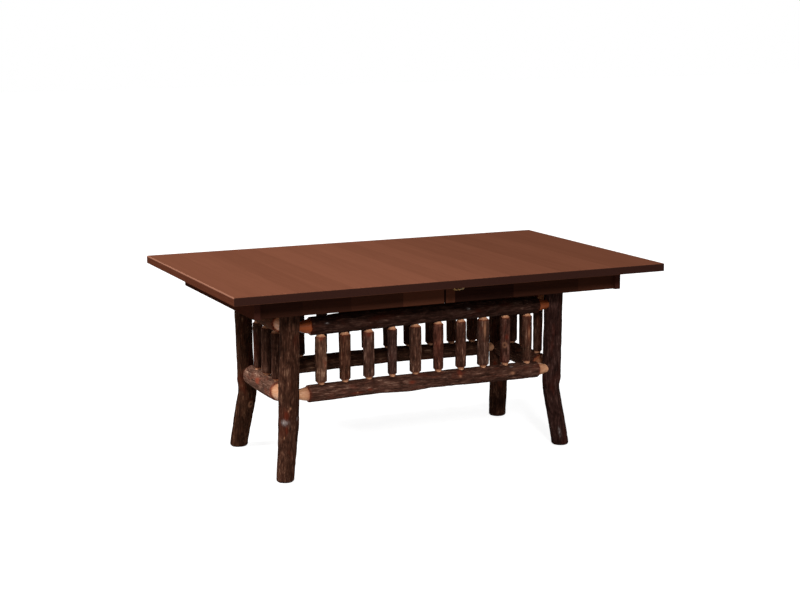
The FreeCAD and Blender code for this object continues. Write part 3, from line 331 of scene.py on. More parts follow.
def bark_relief(rng, angle, along, size):
    """Ridges from 0 to 1 and lumps from -0.5 to 0.5, for a log with this mean radius."""
    cells = max(LEAST_RIDGES, int(2 * np.pi * size / RIDGE_WIDTH))
    ridge = 0.5 * furrows(rng, angle, along, cells, *LONG_FURROWS)
    ridge += 0.3 * furrows(rng, angle, along, int(cells * 1.7), *SHORT_FURROWS)
    ridge += 0.2 * lattice(rng, angle, along, cells * 3, GRIT_STEP)
    return ridge, lattice(rng, angle, along, LUMPS_ROUND, LUMP_STEP) - 0.5


def raise_knots(surface, knots, angle, along, radius):
    """The surface with its knots, and how strongly each kind of knot colours it."""
    spots = {kind: np.zeros_like(radius) for kind in ("pale", "red", "grey")}
    for place, turn, tall, wide, rise, kind in knots:
        away = (angle - math.radians(turn) + np.pi) % (2 * np.pi) - np.pi
        distance = np.hypot((along - place * MM) / (tall * MM), away * radius / (wide * MM))
        mound = np.exp(-2 * distance ** 2)
        surface = surface + rise * MM * mound
        if kind == "ring":
            spots["pale"] = np.maximum(spots["pale"], 0.6 * np.exp(-((distance - 0.8) / 0.3) ** 2))
        else:
            spots[kind] = np.maximum(spots[kind], np.clip(1.3 * mound, 0, 1))
    return surface, spots


print("one bark ridge is about", round(RIDGE_WIDTH / MM), "mm wide")

# %% [markdown]
# A peeled end is five lengths: where the bark stops, where the cone has come down to the tenon, where the
# tenon ends, the tenon's radius, and how far the bark's edge is rounded. The bark rounds over first. Then
# it ends in a ragged line, and the knife's cone takes over, hollowed a little by each flat cut.

# %% One peeled end
FACETS_ROUND, FACET_DEPTH, PEEL_STEP = 11, 0.7 * MM, 1.2 * MM
RAGGED_CELLS, RAGGED_SHARE = 13, 0.6


def peel_end(rng, angle, along, end, bark_radius, surface, rubbed):
    """The surface with one end peeled, where it is peeled, and where inner bark shows."""
    stop, neck, tip, tenon, bevel = [value * MM for value in end]
    past = (along - stop) * (1 if tip > stop else -1)
    ragged = (lattice(rng, angle, along * 0, RAGGED_CELLS, 1) - 0.5) * RAGGED_SHARE * bevel
    rim = bark_radius - bevel
    share = np.clip((past - bevel) / (abs(neck - stop) - bevel), 0, 1)
    cone = tenon + (rim - tenon) * ((1 - share) + 0.5 * share * (1 - share))
    facets = 0.5 + 0.5 * np.cos(FACETS_ROUND * angle + 3 * lattice(rng, angle, along, 6, 40 * MM))
    cone -= FACET_DEPTH * facets * np.clip(8 * share * (1 - share), 0, 1)
    down = np.clip(past / bevel, 0, 1)
    surface = surface - bevel * (1 - np.sqrt(1 - down ** 2))
    gone = past - 0.75 * bevel - ragged
    peel = np.clip(gone / PEEL_STEP, 0, 1)
    surface = surface * (1 - peel) + np.minimum(surface, cone) * peel
    surface = np.where(past > bevel, cone, surface)
    edge = np.exp(-np.abs(gone) / (np.where(gone > 0, 1.1, 0.6) * bevel))
    return surface, peel, np.where(gone > 0, 0.9 * edge, np.maximum(rubbed, 0.8 * edge))


print("facets round a peeled end:", FACETS_ROUND)

# %% [markdown]
# The rings are evenly spaced along the log and much closer where the bark stops, because that step is
# only a few millimetres long. Straight lines between the places in a table would leave a corner at each,
# so every value is the mean over a short reach on both sides.

# %% Rings and soft lines
# All in metres.
SOFT_REACH = 0.018
FINE_BEFORE, FINE_AFTER, FINE_PITCH, LEAST_GAP = 8 * MM, 10 * MM, 1.25 * MM, 0.8 * MM


def softly(along, places, values):
    """Values between the table's places, with the corners rounded."""
    steps = np.linspace(-SOFT_REACH, SOFT_REACH, 7)
    return np.mean([np.interp(along + step, places, values) for step in steps], axis=0)


def ring_places(low, high, pitch, fine_zones):
    """Places of the rings: an even pitch, and much closer where the bark stops."""
    places = [np.arange(low, high, pitch), [high]]
    places += [np.arange(max(low, zone - FINE_BEFORE), min(high, zone + FINE_AFTER), FINE_PITCH)
               for zone in fine_zones]
    places = np.unique(np.round(np.concatenate(places), 6))
    return places[np.concatenate([[True], np.diff(places) > LEAST_GAP])]


def ring_faces(sides, count):
    """Four-sided faces between each ring and the next."""
    lower = np.arange(count - 1)[:, None] * sides
    here = lower + np.arange(sides)[None]
    there = lower + np.roll(np.arange(sides), -1)[None]
    return np.stack([here, there, there + sides, here + sides], -1).reshape(-1, 4)


print("rings in 100 mm with one fine zone:", len(ring_places(0, 100 * MM, 5 * MM, [50 * MM])))

# %% [markdown]
# Now the parts of the recipe come together. The stations are rows of (along, sideways, up, radius), and
# the grid says how many points go round, how far the rings are apart and how high the relief is. The
# relief is centred on the radius of the stations, so that the log is as thick as the engineering model's.

# %% The log recipe
RIDGE_MIDDLE, LUMP_SHARE = 0.6, 0.7


def log_shape(stations, ends, grid, seed, knots=(), foot=0.0):
    """Points, faces, finish numbers and bark colours of one log, along its own Z."""
    rng = np.random.default_rng(seed)
    sides, pitch, relief = grid
    stations = np.array(stations) * MM
    low = ends[0][2] * MM if ends[0] else stations[0, 0]
    high = ends[1][2] * MM if ends[1] else stations[-1, 0]
    rings = ring_places(low, high, pitch, [end[0] * MM for end in ends if end])
    if foot:
        rings = np.unique(np.concatenate([rings, np.linspace(0, foot, 8)]))
    along, angle = np.meshgrid(rings, np.arange(sides) / sides * 2 * np.pi, indexing="ij")
    centre_x, centre_y, radius = [softly(along, stations[:, 0], column) for column in stations.T[1:]]
    ridge, lump = bark_relief(rng, angle, along, float(np.mean(stations[:, 3])))
    surface = radius + relief * (ridge - RIDGE_MIDDLE) + lump * relief * LUMP_SHARE
    surface, spots = raise_knots(surface, knots, angle, along, radius)
    rubbed, is_peeled = spots["red"], np.zeros_like(surface)
    for end in [end for end in ends if end]:
        bark_radius = float(np.interp(end[0] * MM, stations[:, 0], stations[:, 3]))
        surface, peel, rubbed = peel_end(rng, angle, along, end, bark_radius, surface, rubbed)
        is_peeled = np.maximum(is_peeled, peel)
    if foot:
        drop = np.clip(foot - along, 0, foot)
        surface -= foot - np.sqrt(foot ** 2 - drop ** 2)
    points = np.stack([centre_x + surface * np.cos(angle), centre_y + surface * np.sin(angle), along], -1)
    faces = ring_faces(sides, len(rings))
    finish = (is_peeled.reshape(-1)[faces].mean(1) > 0.5).astype(int)
    tones = np.stack([ridge, spots["pale"], np.clip(rubbed, 0, 1), 1 - spots["grey"]], -1).reshape(-1, 4)
    return points.reshape(-1, 3), faces, finish, tones, sides, len(rings)


print("log recipe ready")

# %% [markdown]
# One Blender piece is made from one or more of these shapes, with the sawn ends closed by a single flat
# face each. It takes the place of the engineering model's plain log and rides on the same body.

# %% From shape to piece
PLAIN_TONE = (1.0, 1.0, 1.0)
# A face's finish number is 0 for bark, 1 for peeled wood and this one for a sawn end.
SAWN_FACE = 2


def make_log(name, node_names, shapes, matrix, tone=PLAIN_TONE, amber_and_shade=0.0):
    """One Blender piece from one or more log shapes, in place of the model's plain nodes."""
    points, faces, finish, tones = [], [], [], []
    for (shape_points, quads, shape_finish, shape_tones, sides, count), offset in shapes:
        start = sum(len(block) for block in points)
        last = start + (count - 1) * sides
        points.append(shape_points + np.array(offset))
        tones.append(shape_tones)
        faces += (quads + start).tolist()
        faces += [list(range(start, start + sides))[::-1], list(range(last, last + sides))]
        finish += shape_finish.tolist() + [SAWN_FACE, SAWN_FACE]
    mesh = bpy.data.meshes.new(name)
    mesh.from_pydata(np.concatenate(points).tolist(), [], faces)
    for material in (bark, peeled, sawn):
        mesh.materials.append(material)
    mesh.polygons.foreach_set("material_index", finish)
    mesh.polygons.foreach_set("use_smooth", [kind != SAWN_FACE for kind in finish])
    layer = mesh.color_attributes.new("bark", "FLOAT_COLOR", "POINT")
    layer.data.foreach_set("color", np.concatenate(tones).ravel())
    layer = mesh.color_attributes.new("tone", "FLOAT_COLOR", "POINT")
    layer.data.foreach_set("color", np.tile([*tone, 1 - amber_and_shade], len(mesh.vertices)))
    mesh.update()
    log = bpy.data.objects.new(name, mesh)
    bpy.context.scene.collection.objects.link(log)
    log.matrix_world = matrix
    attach(log, "base")
    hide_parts(*node_names)
    return log


print("finishes on a log:", bark.name, peeled.name, sawn.name)

# %% [markdown]
# ## The four legs
# Each leg is a log with a bend just below the lower rail, where it turns outwards. A modifier could bend
# a straight log, but all four would bend alike, and each real leg grew its own way. So each has a table of
# heights, places on the floor plan and radii, in millimetres. The foot is worn round.

# %% Lines of the legs
LEGS = {
    "front_left_leg": [(0, -630.8, -293.8, 35.3), (11, -630.8, -293.8, 35.3), (34.5, -627.2, -290.2, 35.3),
        (96.6, -617.6, -280.6, 36.9), (172.5, -607, -270, 38.8), (213.9, -602.6, -265.6, 41),
        (282.9, -599.4, -262.4, 40.7), (372.6, -596.8, -259.8, 40.3), (517.5, -588.8, -251.8, 39.1),
        (690, -584, -247, 38.8)],
    "front_right_leg": [(0, 609, -271.2, 35.7), (11, 609, -271.2, 35.7), (34.5, 606.1, -268.1, 35.7),
        (103.5, 597.4, -259.2, 35.7), (193.2, 585, -247, 35.7), (248.4, 577.9, -240, 35),
        (282.9, 580.8, -240, 38.4), (400.2, 581.8, -241.9, 38), (517.5, 583.4, -243.2, 38.4),
        (690, 583.4, -243.8, 38.8)],
    "back_left_leg": [(0, -620.2, 282.6, 36.9), (11, -620.2, 282.6, 36.9), (34.5, -617, 279.6, 36.9),
        (110.4, -606.4, 270, 38.8), (186.3, -594.6, 259.2, 40.3), (241.5, -586.6, 250.8, 38.4),
        (296.7, -592.3, 252.1, 36.1), (400.2, -597.1, 251.5, 33.8), (496.8, -599, 250.8, 35.3),
        (690, -602.6, 250.2, 39.1)],
    "back_right_leg": [(0, 602.1, 274.5, 36.9), (11, 602.1, 274.5, 36.9), (34.5, 601.6, 272, 36.9),
        (82.8, 600.6, 266.8, 38.8), (151.8, 598.1, 257.9, 39.1), (227.7, 592.3, 251.5, 38),
        (289.8, 588.5, 250.2, 36.9), (379.5, 587.8, 250.2, 37.2), (517.5, 585.9, 248.6, 38),
        (690, 584, 247, 38)],
}
print("stations on each leg:", [len(rows) for rows in LEGS.values()])

# %% [markdown]
# The larger knots and scars are placed one by one, at a height and a turn round the leg. Random ones would
# be less work, but a knot is what the eye goes to first. The tones are the tint of each leg's bark.

# %% Legs
LEG_KNOTS = {
    "front_left_leg": [(233, -133, 13, 18, 1.0, "grey"), (289, -101, 6, 4, 0.8, "pale"),
                       (279, -112, 5, 3, 0.6, "pale"), (246, -55, 9, 4, 0.8, "grey"),
                       (174, -133, 6, 2.5, 0.3, "pale"), (203, -120, 22, 6, 0.4, "red"),
                       (262, -120, 22, 12, 0.8, "red")],
    "front_right_leg": [(283, -30, 30, 24, 2.0, "red"), (60, -110, 22, 5, 0.4, "grey")],
    "back_left_leg": [(188, -79, 13, 10, 3.0, "ring"), (208, -77, 8, 8, 1.0, "red"),
                      (290, 170, 20, 16, 2.5, "red")],
    "back_right_leg": [(250, -140, 16, 12, 1.5, "red")],
}
LEG_TONES = {
    "front_left_leg": (0.85, 0.8, 0.75), "front_right_leg": (0.6, 0.6, 0.75),
    "back_left_leg": (0.65, 0.6, 0.5), "back_right_leg": (0.7, 0.65, 0.6),
}
# Points round the log, metres between rings, and metres of bark relief.
LEG_GRID = (84, 5 * MM, 1.9 * MM)
FOOT_ROUND, LEG_SEED = 11 * MM, 11
for index, (name, rows) in enumerate(LEGS.items()):
    first_east, first_north = rows[0][1:3]
    stations = [(height, east - first_east, north - first_north, radius)
                for height, east, north, radius in rows]
    shape = log_shape(stations, (None, None), LEG_GRID, LEG_SEED + index, LEG_KNOTS[name], foot=FOOT_ROUND)
    leg = make_log(name + "_log", [name], [(shape, (0, 0, 0))],
                   Matrix.Translation((first_east * MM, first_north * MM, 0)), LEG_TONES[name])
    print(leg.name, "has", len(leg.data.vertices), "points")

# %% [markdown]
# ## The eight rails
# The rails lie along X or Y, so their rings are made along Z like the rest and the whole log is then laid
# down by its matrix. A row gives the log's middle, its axis, where its two tenons and two cones end, and
# its stations. Both ends are peeled to a 37 mm tenon that goes into the leg.

# %% Lines of the rails
RAILS = {
    "front_upper_rail": ((0, -247, 596), "x", (-596, -546.1, 543.3, 596), [(-499.4, 0, -2.3, 36.2),
        (-429.6, 0.5, -0.8, 37.6), (-349.8, 1, 2, 39.8), (-200.2, 2, 3.8, 39.8), (-0.7, 0.5, 6, 36.9),
        (158.9, -1.5, 6.8, 36.2), (358.4, -1, 6, 35.9), (498.1, 0, 1.5, 33)]),
    "front_lower_rail": ((0, -247, 329.8), "x", (-596, -556.1, 541.5, 596), [(-510.2, 0, -3, 34.8),
        (-388.9, 0.5, -1.5, 34.1), (-206.9, -1, 1.5, 33), (-85.6, -1.5, -2.5, 35.5), (15.5, 1, 1, 33.7),
        (197.5, 2, -1.5, 34.4), (379.4, 1, -2.5, 34.4), (500.8, 0, -4, 33.7)]),
    "back_upper_rail": ((0, 247, 596), "x", (-596, -562.1, 545.5, 596), [(-503, 0, 0, 34.4),
        (-302.7, 1.5, -1, 35.5), (-52.3, 2.5, -1.5, 34.8), (198, -0.5, 1, 35.9), (498.5, 0, 0, 34.1)]),
    "back_lower_rail": ((0, 247, 329.8), "x", (-596, -557, 549.7, 596), [(-507.5, 0, -2.3, 36.9),
        (-305.8, -1, -2, 36.6), (-104, 1, 1.5, 34.1), (97.7, 2, 2.5, 33.4), (299.5, 0.5, -3, 33),
        (501.2, 0, -6, 32.7)]),
    "left_upper_rail": ((-584, 0, 596), "y", (-226.5, -209.1, 211.7, 226.5), [(-137.8, 0, -2, 36.6),
        (-23.4, 1.5, -2, 38.3), (62.4, 0.5, -1, 37.3), (148.2, 0, -1, 36.2)]),
    "left_lower_rail": ((-584, 0, 315), "y", (-226.5, -219.4, 214.8, 226.5), [(-109.7, 0, 0, 40),
        (-2.7, 1, -1, 41.4), (104.3, 2, 1, 41.1), (196, 0, 2, 40)]),
    "right_upper_rail": ((584, 0, 596), "y", (-226.5, -203.4, 208.4, 226.5), [(-143, 0, 0, 33.1),
        (5.2, -2, 0.5, 34.8), (153.4, 0, 0, 33.8)]),
    "right_lower_rail": ((584, 0, 326), "y", (-226.5, -200.9, 211.7, 226.5), [(-137.8, 0, 0, 37.3),
        (-37.6, 1, 1, 39.7), (95.9, -1.5, 0, 40.7), (196, 0, 0, 39.3)]),
}
print("rails in the table:", len(RAILS))

# %% [markdown]
# The front upper rail is the darkest log of the table, and its peeled ends are the most amber, which is
# partly painted shade under the apron. The lower rails at the front and on the left have the palest and
# greyest bark.

# %% Rails
RAIL_KNOTS = {
    "front_lower_rail": [(-81, 166, 18, 9, 1.0, "red"), (-317, -156, 34, 6, 0.5, "red"),
                         (-317, -160, 4, 4, 0.6, "pale"), (136, 163, 6, 6, 1.0, "pale"),
                         (136, 140, 12, 20, 0.4, "red"), (375, 178, 12, 8, 1.2, "pale"),
                         (375, 130, 8, 5, 0.6, "grey"), (-264, -171, 12, 6, 0.3, "red")],
    "front_upper_rail": [(169, 160, 8, 5, 1.2, "grey"), (-444, 162, 8, 4, 0.8, "grey"),
                         (-300, 20, 18, 12, 1.0, "red"), (362, 95, 24, 16, 2.5, "red")],
    "left_lower_rail": [(30, 25, 24, 14, 1.0, "red")],
}
RAIL_TONES = {
    "front_upper_rail": (0.5, 0.5, 0.55), "front_lower_rail": (1.45, 1.5, 1.6),
    "back_upper_rail": (0.8, 0.8, 0.9), "back_lower_rail": (0.85, 0.85, 0.8),
    "left_upper_rail": (1.2, 1.2, 1.0), "left_lower_rail": (2.2, 2.6, 2.8),
}
# How amber each log's peeled ends are: partly aged wood, partly painted shade.
AMBER_AND_SHADE_ENDS = {"front_upper_rail": 1.0, "left_upper_rail": 0.3, "right_lower_rail": 0.6}
# These lay a log down: they turn its own Z to the table's X or Y.
LAID = {"x": Matrix(((0, 0, 1, 0), (1, 0, 0, 0), (0, 1, 0, 0), (0, 0, 0, 1))),
        "y": Matrix(((-1, 0, 0, 0), (0, 0, 1, 0), (0, 1, 0, 0), (0, 0, 0, 1)))}
RAIL_GRID, RAIL_SEED = (80, 5 * MM, 1.9 * MM), 31
TENON_RADIUS, RAIL_BEVEL = 18.5, 7
for index, (name, (centre, axis, reaches, stations)) in enumerate(RAILS.items()):
    low_end = (stations[0][0], reaches[1], reaches[0], TENON_RADIUS, RAIL_BEVEL)
    high_end = (stations[-1][0], reaches[2], reaches[3], TENON_RADIUS, RAIL_BEVEL)
    shape = log_shape(stations, (low_end, high_end), RAIL_GRID, RAIL_SEED + index, RAIL_KNOTS.get(name, ()))
    matrix = Matrix.Translation(Vector(centre) * MM) @ LAID[axis]
    rail = make_log(name + "_log", [name], [(shape, (0, 0, 0))], matrix, RAIL_TONES.get(name, PLAIN_TONE),
                    AMBER_AND_SHADE_ENDS.get(name, 0.0))
    print(rail.name, "has", len(rail.data.vertices), "points")

# %% [markdown]
# ## The spindles
# Ten short sticks stand between the two rails at the front, ten at the back and three at each end. They
# are the same recipe with a thinner bark. Copies of one stick would be quicker, but the real ones differ in
# thickness, so each has a row of its own: its place on the floor plan, the heights of its lower tip and
# shoulder and of its upper shoulder and tip, and three radii from low to high, all in millimetres.

# %% Lines of the spindles
SPINDLES = {
    "front_spindle_01": (-457.3, -247, 339.5, 363.5, 556.1, 580.1, 23, 23.9, 22.8),
    "front_spindle_02": (-355.7, -247, 340.3, 364.3, 556.7, 580.7, 22.2, 23.2, 23.4),
    "front_spindle_03": (-254, -247, 341.3, 365.3, 557.9, 581.9, 23.2, 22.4, 22.8),
    "front_spindle_04": (-152.4, -247, 341.2, 365.2, 559.7, 583.7, 18.7, 19.3, 20.8),
    "front_spindle_05": (-50.8, -247, 340.9, 364.9, 562.3, 586.3, 23.7, 24.5, 24.1),
    "front_spindle_06": (50.8, -247, 341.7, 365.7, 564.1, 588.1, 20.8, 21.6, 21.4),
    "front_spindle_07": (152.4, -247, 340.7, 364.7, 565, 589, 21.8, 22.2, 21.4),
    "front_spindle_08": (254, -247, 339.9, 363.9, 564.9, 588.9, 24.5, 25.9, 24.9),
    "front_spindle_09": (355.7, -247, 339.4, 363.4, 564.7, 588.7, 20.1, 21.4, 20.8),
    "front_spindle_10": (457.3, -247, 337.8, 361.8, 563.5, 587.5, 19.3, 21.4, 21),
    "back_spindle_01": (-457.3, 247, 341.9, 365.9, 559.6, 583.6, 18.7, 19.3, 20.8),
    "back_spindle_02": (-355.7, 247, 341.9, 365.9, 558.5, 582.5, 23.2, 22.4, 22.8),
    "back_spindle_03": (-254, 247, 342.1, 366.1, 558, 582, 22.2, 23.2, 23.4),
    "back_spindle_04": (-152.4, 247, 342.7, 366.7, 558.1, 582.1, 23, 23.9, 22.8),
    "back_spindle_05": (-50.8, 247, 343, 367, 558.2, 582.2, 19.3, 21.4, 21),
    "back_spindle_06": (50.8, 247, 343.1, 367.1, 558.8, 582.8, 20.1, 21.4, 20.8),
    "back_spindle_07": (152.4, 247, 341.6, 365.6, 559.4, 583.4, 24.5, 25.9, 24.9),
    "back_spindle_08": (254, 247, 338.7, 362.7, 559.8, 583.8, 21.8, 22.2, 21.4),
    "back_spindle_09": (355.7, 247, 336.4, 360.4, 560.1, 584.1, 20.8, 21.6, 21.4),
    "back_spindle_10": (457.3, 247, 334.7, 358.7, 560.3, 584.3, 23.7, 24.5, 24.1),
    "left_end_spindle_1": (-584, -97.6, 332.5, 356.5, 555.3, 579.3, 22.2, 23.2, 23.4),
    "left_end_spindle_2": (-584, 16.3, 333.2, 357.2, 555.1, 579.1, 23.2, 22.4, 22.8),
    "left_end_spindle_3": (-584, 120.8, 334.5, 358.5, 556.9, 580.9, 18.7, 19.3, 20.8),
    "right_end_spindle_1": (584, -115.3, 341.6, 365.6, 561.2, 585.2, 18.7, 19.3, 20.8),
    "right_end_spindle_2": (584, -2.2, 344.2, 368.2, 560.2, 584.2, 23.7, 24.5, 24.1),
    "right_end_spindle_3": (584, 107.7, 344.1, 368.1, 560.5, 584.5, 20.8, 21.6, 21.4),
}
print("spindles in the table:", len(SPINDLES))

# %% [markdown]
# The sticks differ more in colour than the rails do, so each front one has a tone of its own. The back ones
# stand in the table's own shade, and their darker tones are painted shade on top of it. The three at one
# end belong together, so they are one piece.

# %% Spindles
SPINDLE_KNOTS = {
    "front_spindle_01": [(547, -113, 12, 14, 0.5, "red")],
    "front_spindle_03": [(545, -109, 14, 14, 0.5, "red")],
    "front_spindle_08": [(520, -100, 40, 6, 1.0, "pale")],
    "front_spindle_09": [(446, -120, 11, 10, 1.5, "ring"), (479, -97, 14, 10, 0.5, "red")],
    "front_spindle_10": [(487, -93, 26, 4, 0.4, "pale"), (487, -93, 40, 8, 0.4, "red")],
    "right_end_spindle_1": [(430, -62, 60, 16, 0.5, "red")],
}
SPINDLE_TONES_AND_SHADE = {
    "front_spindle_01": (2.1, 2.3, 2.2), "front_spindle_02": (1.3, 1.2, 1.1),
    "front_spindle_03": (1.5, 1.6, 1.7), "front_spindle_04": (1.0, 1.1, 1.3),
    "front_spindle_05": (1.3, 1.3, 1.3), "front_spindle_06": (1.5, 1.2, 1.2),
    "front_spindle_07": (1.2, 1.1, 1.1), "front_spindle_08": (1.3, 1.4, 1.5),
    "front_spindle_09": (1.2, 1.1, 1.2), "front_spindle_10": (1.2, 1.2, 1.2),
    # The back spindles' darker tones are painted shade.
    "back_spindle_02": (0.5, 0.4, 0.35), "back_spindle_05": (0.5, 0.4, 0.35),
    "back_spindle_06": (0.5, 0.4, 0.3), "back_spindle_07": (0.5, 0.4, 0.3),
    "back_spindle_08": (0.8, 0.75, 0.7), "back_spindle_09": (0.95, 0.85, 0.75),
    "back_spindle_10": (0.95, 0.85, 0.75),
}
# Painted shade: the darker tint of the other back spindles.
SHADED_BACK_TONE = (0.6, 0.55, 0.5)
SPINDLE_GRID, SPINDLE_SEED, END_SPINDLE_SEED = (44, 4 * MM, 1.2 * MM), 101, 301
SPINDLE_TENON, SPINDLE_TAPER, SPINDLE_BEVEL = 12.7, 10, 3


def spindle_shape(name, seed):
    """The shape of one spindle round its own upright axis."""
    low_tip, low_face, high_face, high_tip, low, middle, high = SPINDLES[name][2:]
    low_stop, high_stop = low_face + SPINDLE_TAPER, high_face - SPINDLE_TAPER
    stations = [(low_stop, 0, 0, low), ((low_stop + high_stop) / 2, 0, 0, middle), (high_stop, 0, 0, high)]
    ends = ((low_stop, low_face, low_tip, SPINDLE_TENON, SPINDLE_BEVEL),
            (high_stop, high_face, high_tip, SPINDLE_TENON, SPINDLE_BEVEL))
    return log_shape(stations, ends, SPINDLE_GRID, seed, SPINDLE_KNOTS.get(name, ()))


for index, name in enumerate(SPINDLES):
    if name.startswith(("front", "back")):
        x, y = SPINDLES[name][:2]
        make_log(name + "_log", [name], [(spindle_shape(name, SPINDLE_SEED + index), (0, 0, 0))],
                 Matrix.Translation((x * MM, y * MM, 0)), SPINDLE_TONES_AND_SHADE.get(name, SHADED_BACK_TONE))
for end in ("left", "right"):
    names = [name for name in SPINDLES if name.startswith(end)]
    x = SPINDLES[names[0]][0] * MM
    shapes = [(spindle_shape(name, END_SPINDLE_SEED + index), (0, SPINDLES[name][1] * MM, 0))
              for index, name in enumerate(names)]
    make_log(end + "_end_spindle_logs", [end + "_end_spindles"], shapes, Matrix.Translation((x, 0, 0)))
print("spindles made:", len(SPINDLES))

# %% [markdown]
# ## The stained top
# The top is glued up from boards that run across the table. Every board took the stain a little
# differently, so each has its own tone, and the grain runs along it. Separate planks would show seams,
# which a glued top doesn't have. The engineering model's halves have the right shape already, with eased
# edges, so they only get the finish. The long front and back edges are end grain, which drinks stain and
# goes darker. The edges at the table's two ends are a redder brown, painted darker as painted shade: the
# finish looks at which way the surface faces. Along the upper corner of those end edges a light line is
# painted, a painted highlight where the eased edge catches the light.

# %% Parts of the stain
def board_tones(tree, place, joints, tones):
    """One tone for each board, with a step at each joint along X."""
    east = put(tree, "ShaderNodeSeparateXYZ", {"Vector": place}).outputs["X"]
    west_end, east_end = joints[0], -joints[0]
    share = put(tree, "ShaderNodeMapRange", {"Value": east, "From Min": west_end * MM,
                                             "From Max": east_end * MM}).outputs["Result"]
    stops = [((joint - west_end) / (east_end - west_end), (tone, tone, tone, 1))
             for joint, tone in zip(joints, tones)]
    return ramp(tree, share, stops, "CONSTANT")


def faces_along(tree, axis):
    """White where the surface faces along the axis, either way."""
    normal = put(tree, "ShaderNodeNewGeometry").outputs["Normal"]
    part = put(tree, "ShaderNodeSeparateXYZ", {"Vector": normal}).outputs[axis]
    return mask(tree, math_node(tree, "ABSOLUTE", part), 0.55, 0.9)


def near_line(tree, place, east, up, inner, outer):
    """1 near the lines along Y that are this far east and west and this high, and 0 beyond outer."""
    axes = put(tree, "ShaderNodeSeparateXYZ", {"Vector": place}).outputs
    beside = math_node(tree, "SUBTRACT", math_node(tree, "ABSOLUTE", axes["X"]), east)
    above = math_node(tree, "SUBTRACT", axes["Z"], up)
    squares = math_node(tree, "ADD", math_node(tree, "MULTIPLY", beside, beside),
                        math_node(tree, "MULTIPLY", above, above))
    return put(tree, "ShaderNodeMapRange", {
        "Value": math_node(tree, "SQRT", squares), "From Min": inner, "From Max": outer,
        "To Min": 1.0, "To Max": 0.0}).outputs["Result"]


print("stain helpers ready")

# %% [markdown]
# The stain itself is a ramp from a dark to a light brown. What moves along it is a sum of the wood's broad
# figure, the board's tone and the fine pores. The aprons take the same recipe in a darker brown, with
# their grain along the table; on the long aprons the darker brown is partly painted shade under the top's
# overhang. Stained wood has hardly any gloss left here, so that the top doesn't mirror the white room at a
# low angle.

# %% The stain recipe
# How far a pattern is drawn out along the grain, then its scale, detail, roughness and twist.
FIGURE, PORES = (0.05, 26, 5, 0.6, 1.2), (0.03, 330, 4, 0.6)
FIGURE_SHARE, TONE_SHARE, PORE_SHARE, LOWEST_SUM = 0.35, 0.75, 0.3, 0.2
MIDDLE_TONE = 0.5
# The upper corner of the end edges, from the middle and from the floor, and the width of the painted
# highlight along it.
ARRIS_LINE, ARRIS_HIGHLIGHT_WIDTH = (914.5 * MM, 787 * MM), (2 * MM, 6 * MM)


def stained(name, dark, light, end_grain, along, boards=None, side=None, arris_highlight=None):
    """Stained wood with its grain along x or y. Side is painted shade on the edges beside the grain, and
    the arris colour a painted highlight along their upper corner.
    """
    finish, tree, shader, place = start_finish(name, 0.55, shine=0.0)
    across = "X" if along == "y" else "Y"
    figure, pores = [drawn_out(tree, place, along, *pattern) for pattern in (FIGURE, PORES)]
    tone = board_tones(tree, place, *boards) if boards else MIDDLE_TONE
    value = weighed(tree, (figure, FIGURE_SHARE), (tone, TONE_SHARE), (pores, PORE_SHARE))
    face = ramp(tree, math_node(tree, "SUBTRACT", value, LOWEST_SUM, True), [(0.1, dark), (0.8, light)])
    # Painted shade: the side colour darkens the edges beside the grain.
    if side:
        face = mix(tree, faces_along(tree, across), face, mix(tree, pores, side, dark))
    # Painted highlight: a light line along the upper corner of the end edges.
    if arris_highlight:
        face = mix(tree, near_line(tree, place, *ARRIS_LINE, *ARRIS_HIGHLIGHT_WIDTH), face, arris_highlight)
    ends = mix(tree, noise(tree, place, 420, 3, 0.6), end_grain, mix(tree, 0.35, end_grain, dark))
    face = mix(tree, faces_along(tree, along.upper()), face, ends)
    tree.links.new(face, shader.inputs["Base Color"])
    add_bump(tree, shader, weighed(tree, (pores, 1.0), (figure, 0.4)), 0.12, 0.6 * MM)
    return finish


print("stain recipe ready")

# %% [markdown]
# The boards' joints are in millimetres from the middle of the table. On the long aprons the same trick
# gives lighter and darker patches along their length.

# %% The stained finishes
BOARD_JOINTS = (-914.5, -790, -672, -560, -447, -330, -215, -105, 0, 98, 202, 318, 432, 552, 668, 792)
BOARD_TONES = (0.42, 0.5, 0.38, 0.46, 0.66, 0.58, 0.7, 0.52, 0.62, 0.5, 0.36, 0.44, 0.3, 0.4, 0.28, 0.34)
APRON_JOINTS = (-792, -600, -400, -180, 2, 38, 300, 600)
APRON_TONES = (0.2, 0.3, 0.45, 0.9, 0.95, 0.1, 0.37, 0.58)
# The side colour is painted shade on the top's end edges, and the arris colour a painted highlight along
# their upper corner.
top_stain = stained("stained_top", colour(102, 60, 43), colour(130, 80, 60), colour(34, 20, 20), "y",
                    (BOARD_JOINTS, BOARD_TONES), side=colour(62, 24, 14), arris_highlight=colour(144, 99, 80))
# Painted shade: the long aprons' brown is partly darkened for the shade under the top's overhang.
apron_stain_and_shade = stained("long_apron_stain_and_shade", colour(28, 14, 11), colour(76, 42, 29), colour(52, 30, 24), "x",
                      (APRON_JOINTS, APRON_TONES))
end_apron_stain = stained("stained_apron_end", colour(44, 22, 16), colour(80, 42, 30),
                          colour(64, 34, 27), "y")
print("stained finishes ready for", len(BOARD_JOINTS), "boards")

# %% [markdown]
# ## The hidden works and the brass
# Under the top are the plain hardwood cleats and slides, a black nylon pinion with its two racks, zinc
# plated screws and two small brass latches. One grey would do while the top is shut, but the works show
# when it is open, so each gets a finish of its own kind. The brass is a bare metal with a slightly uneven
# shine, which is what makes it glint in the shade under the top.

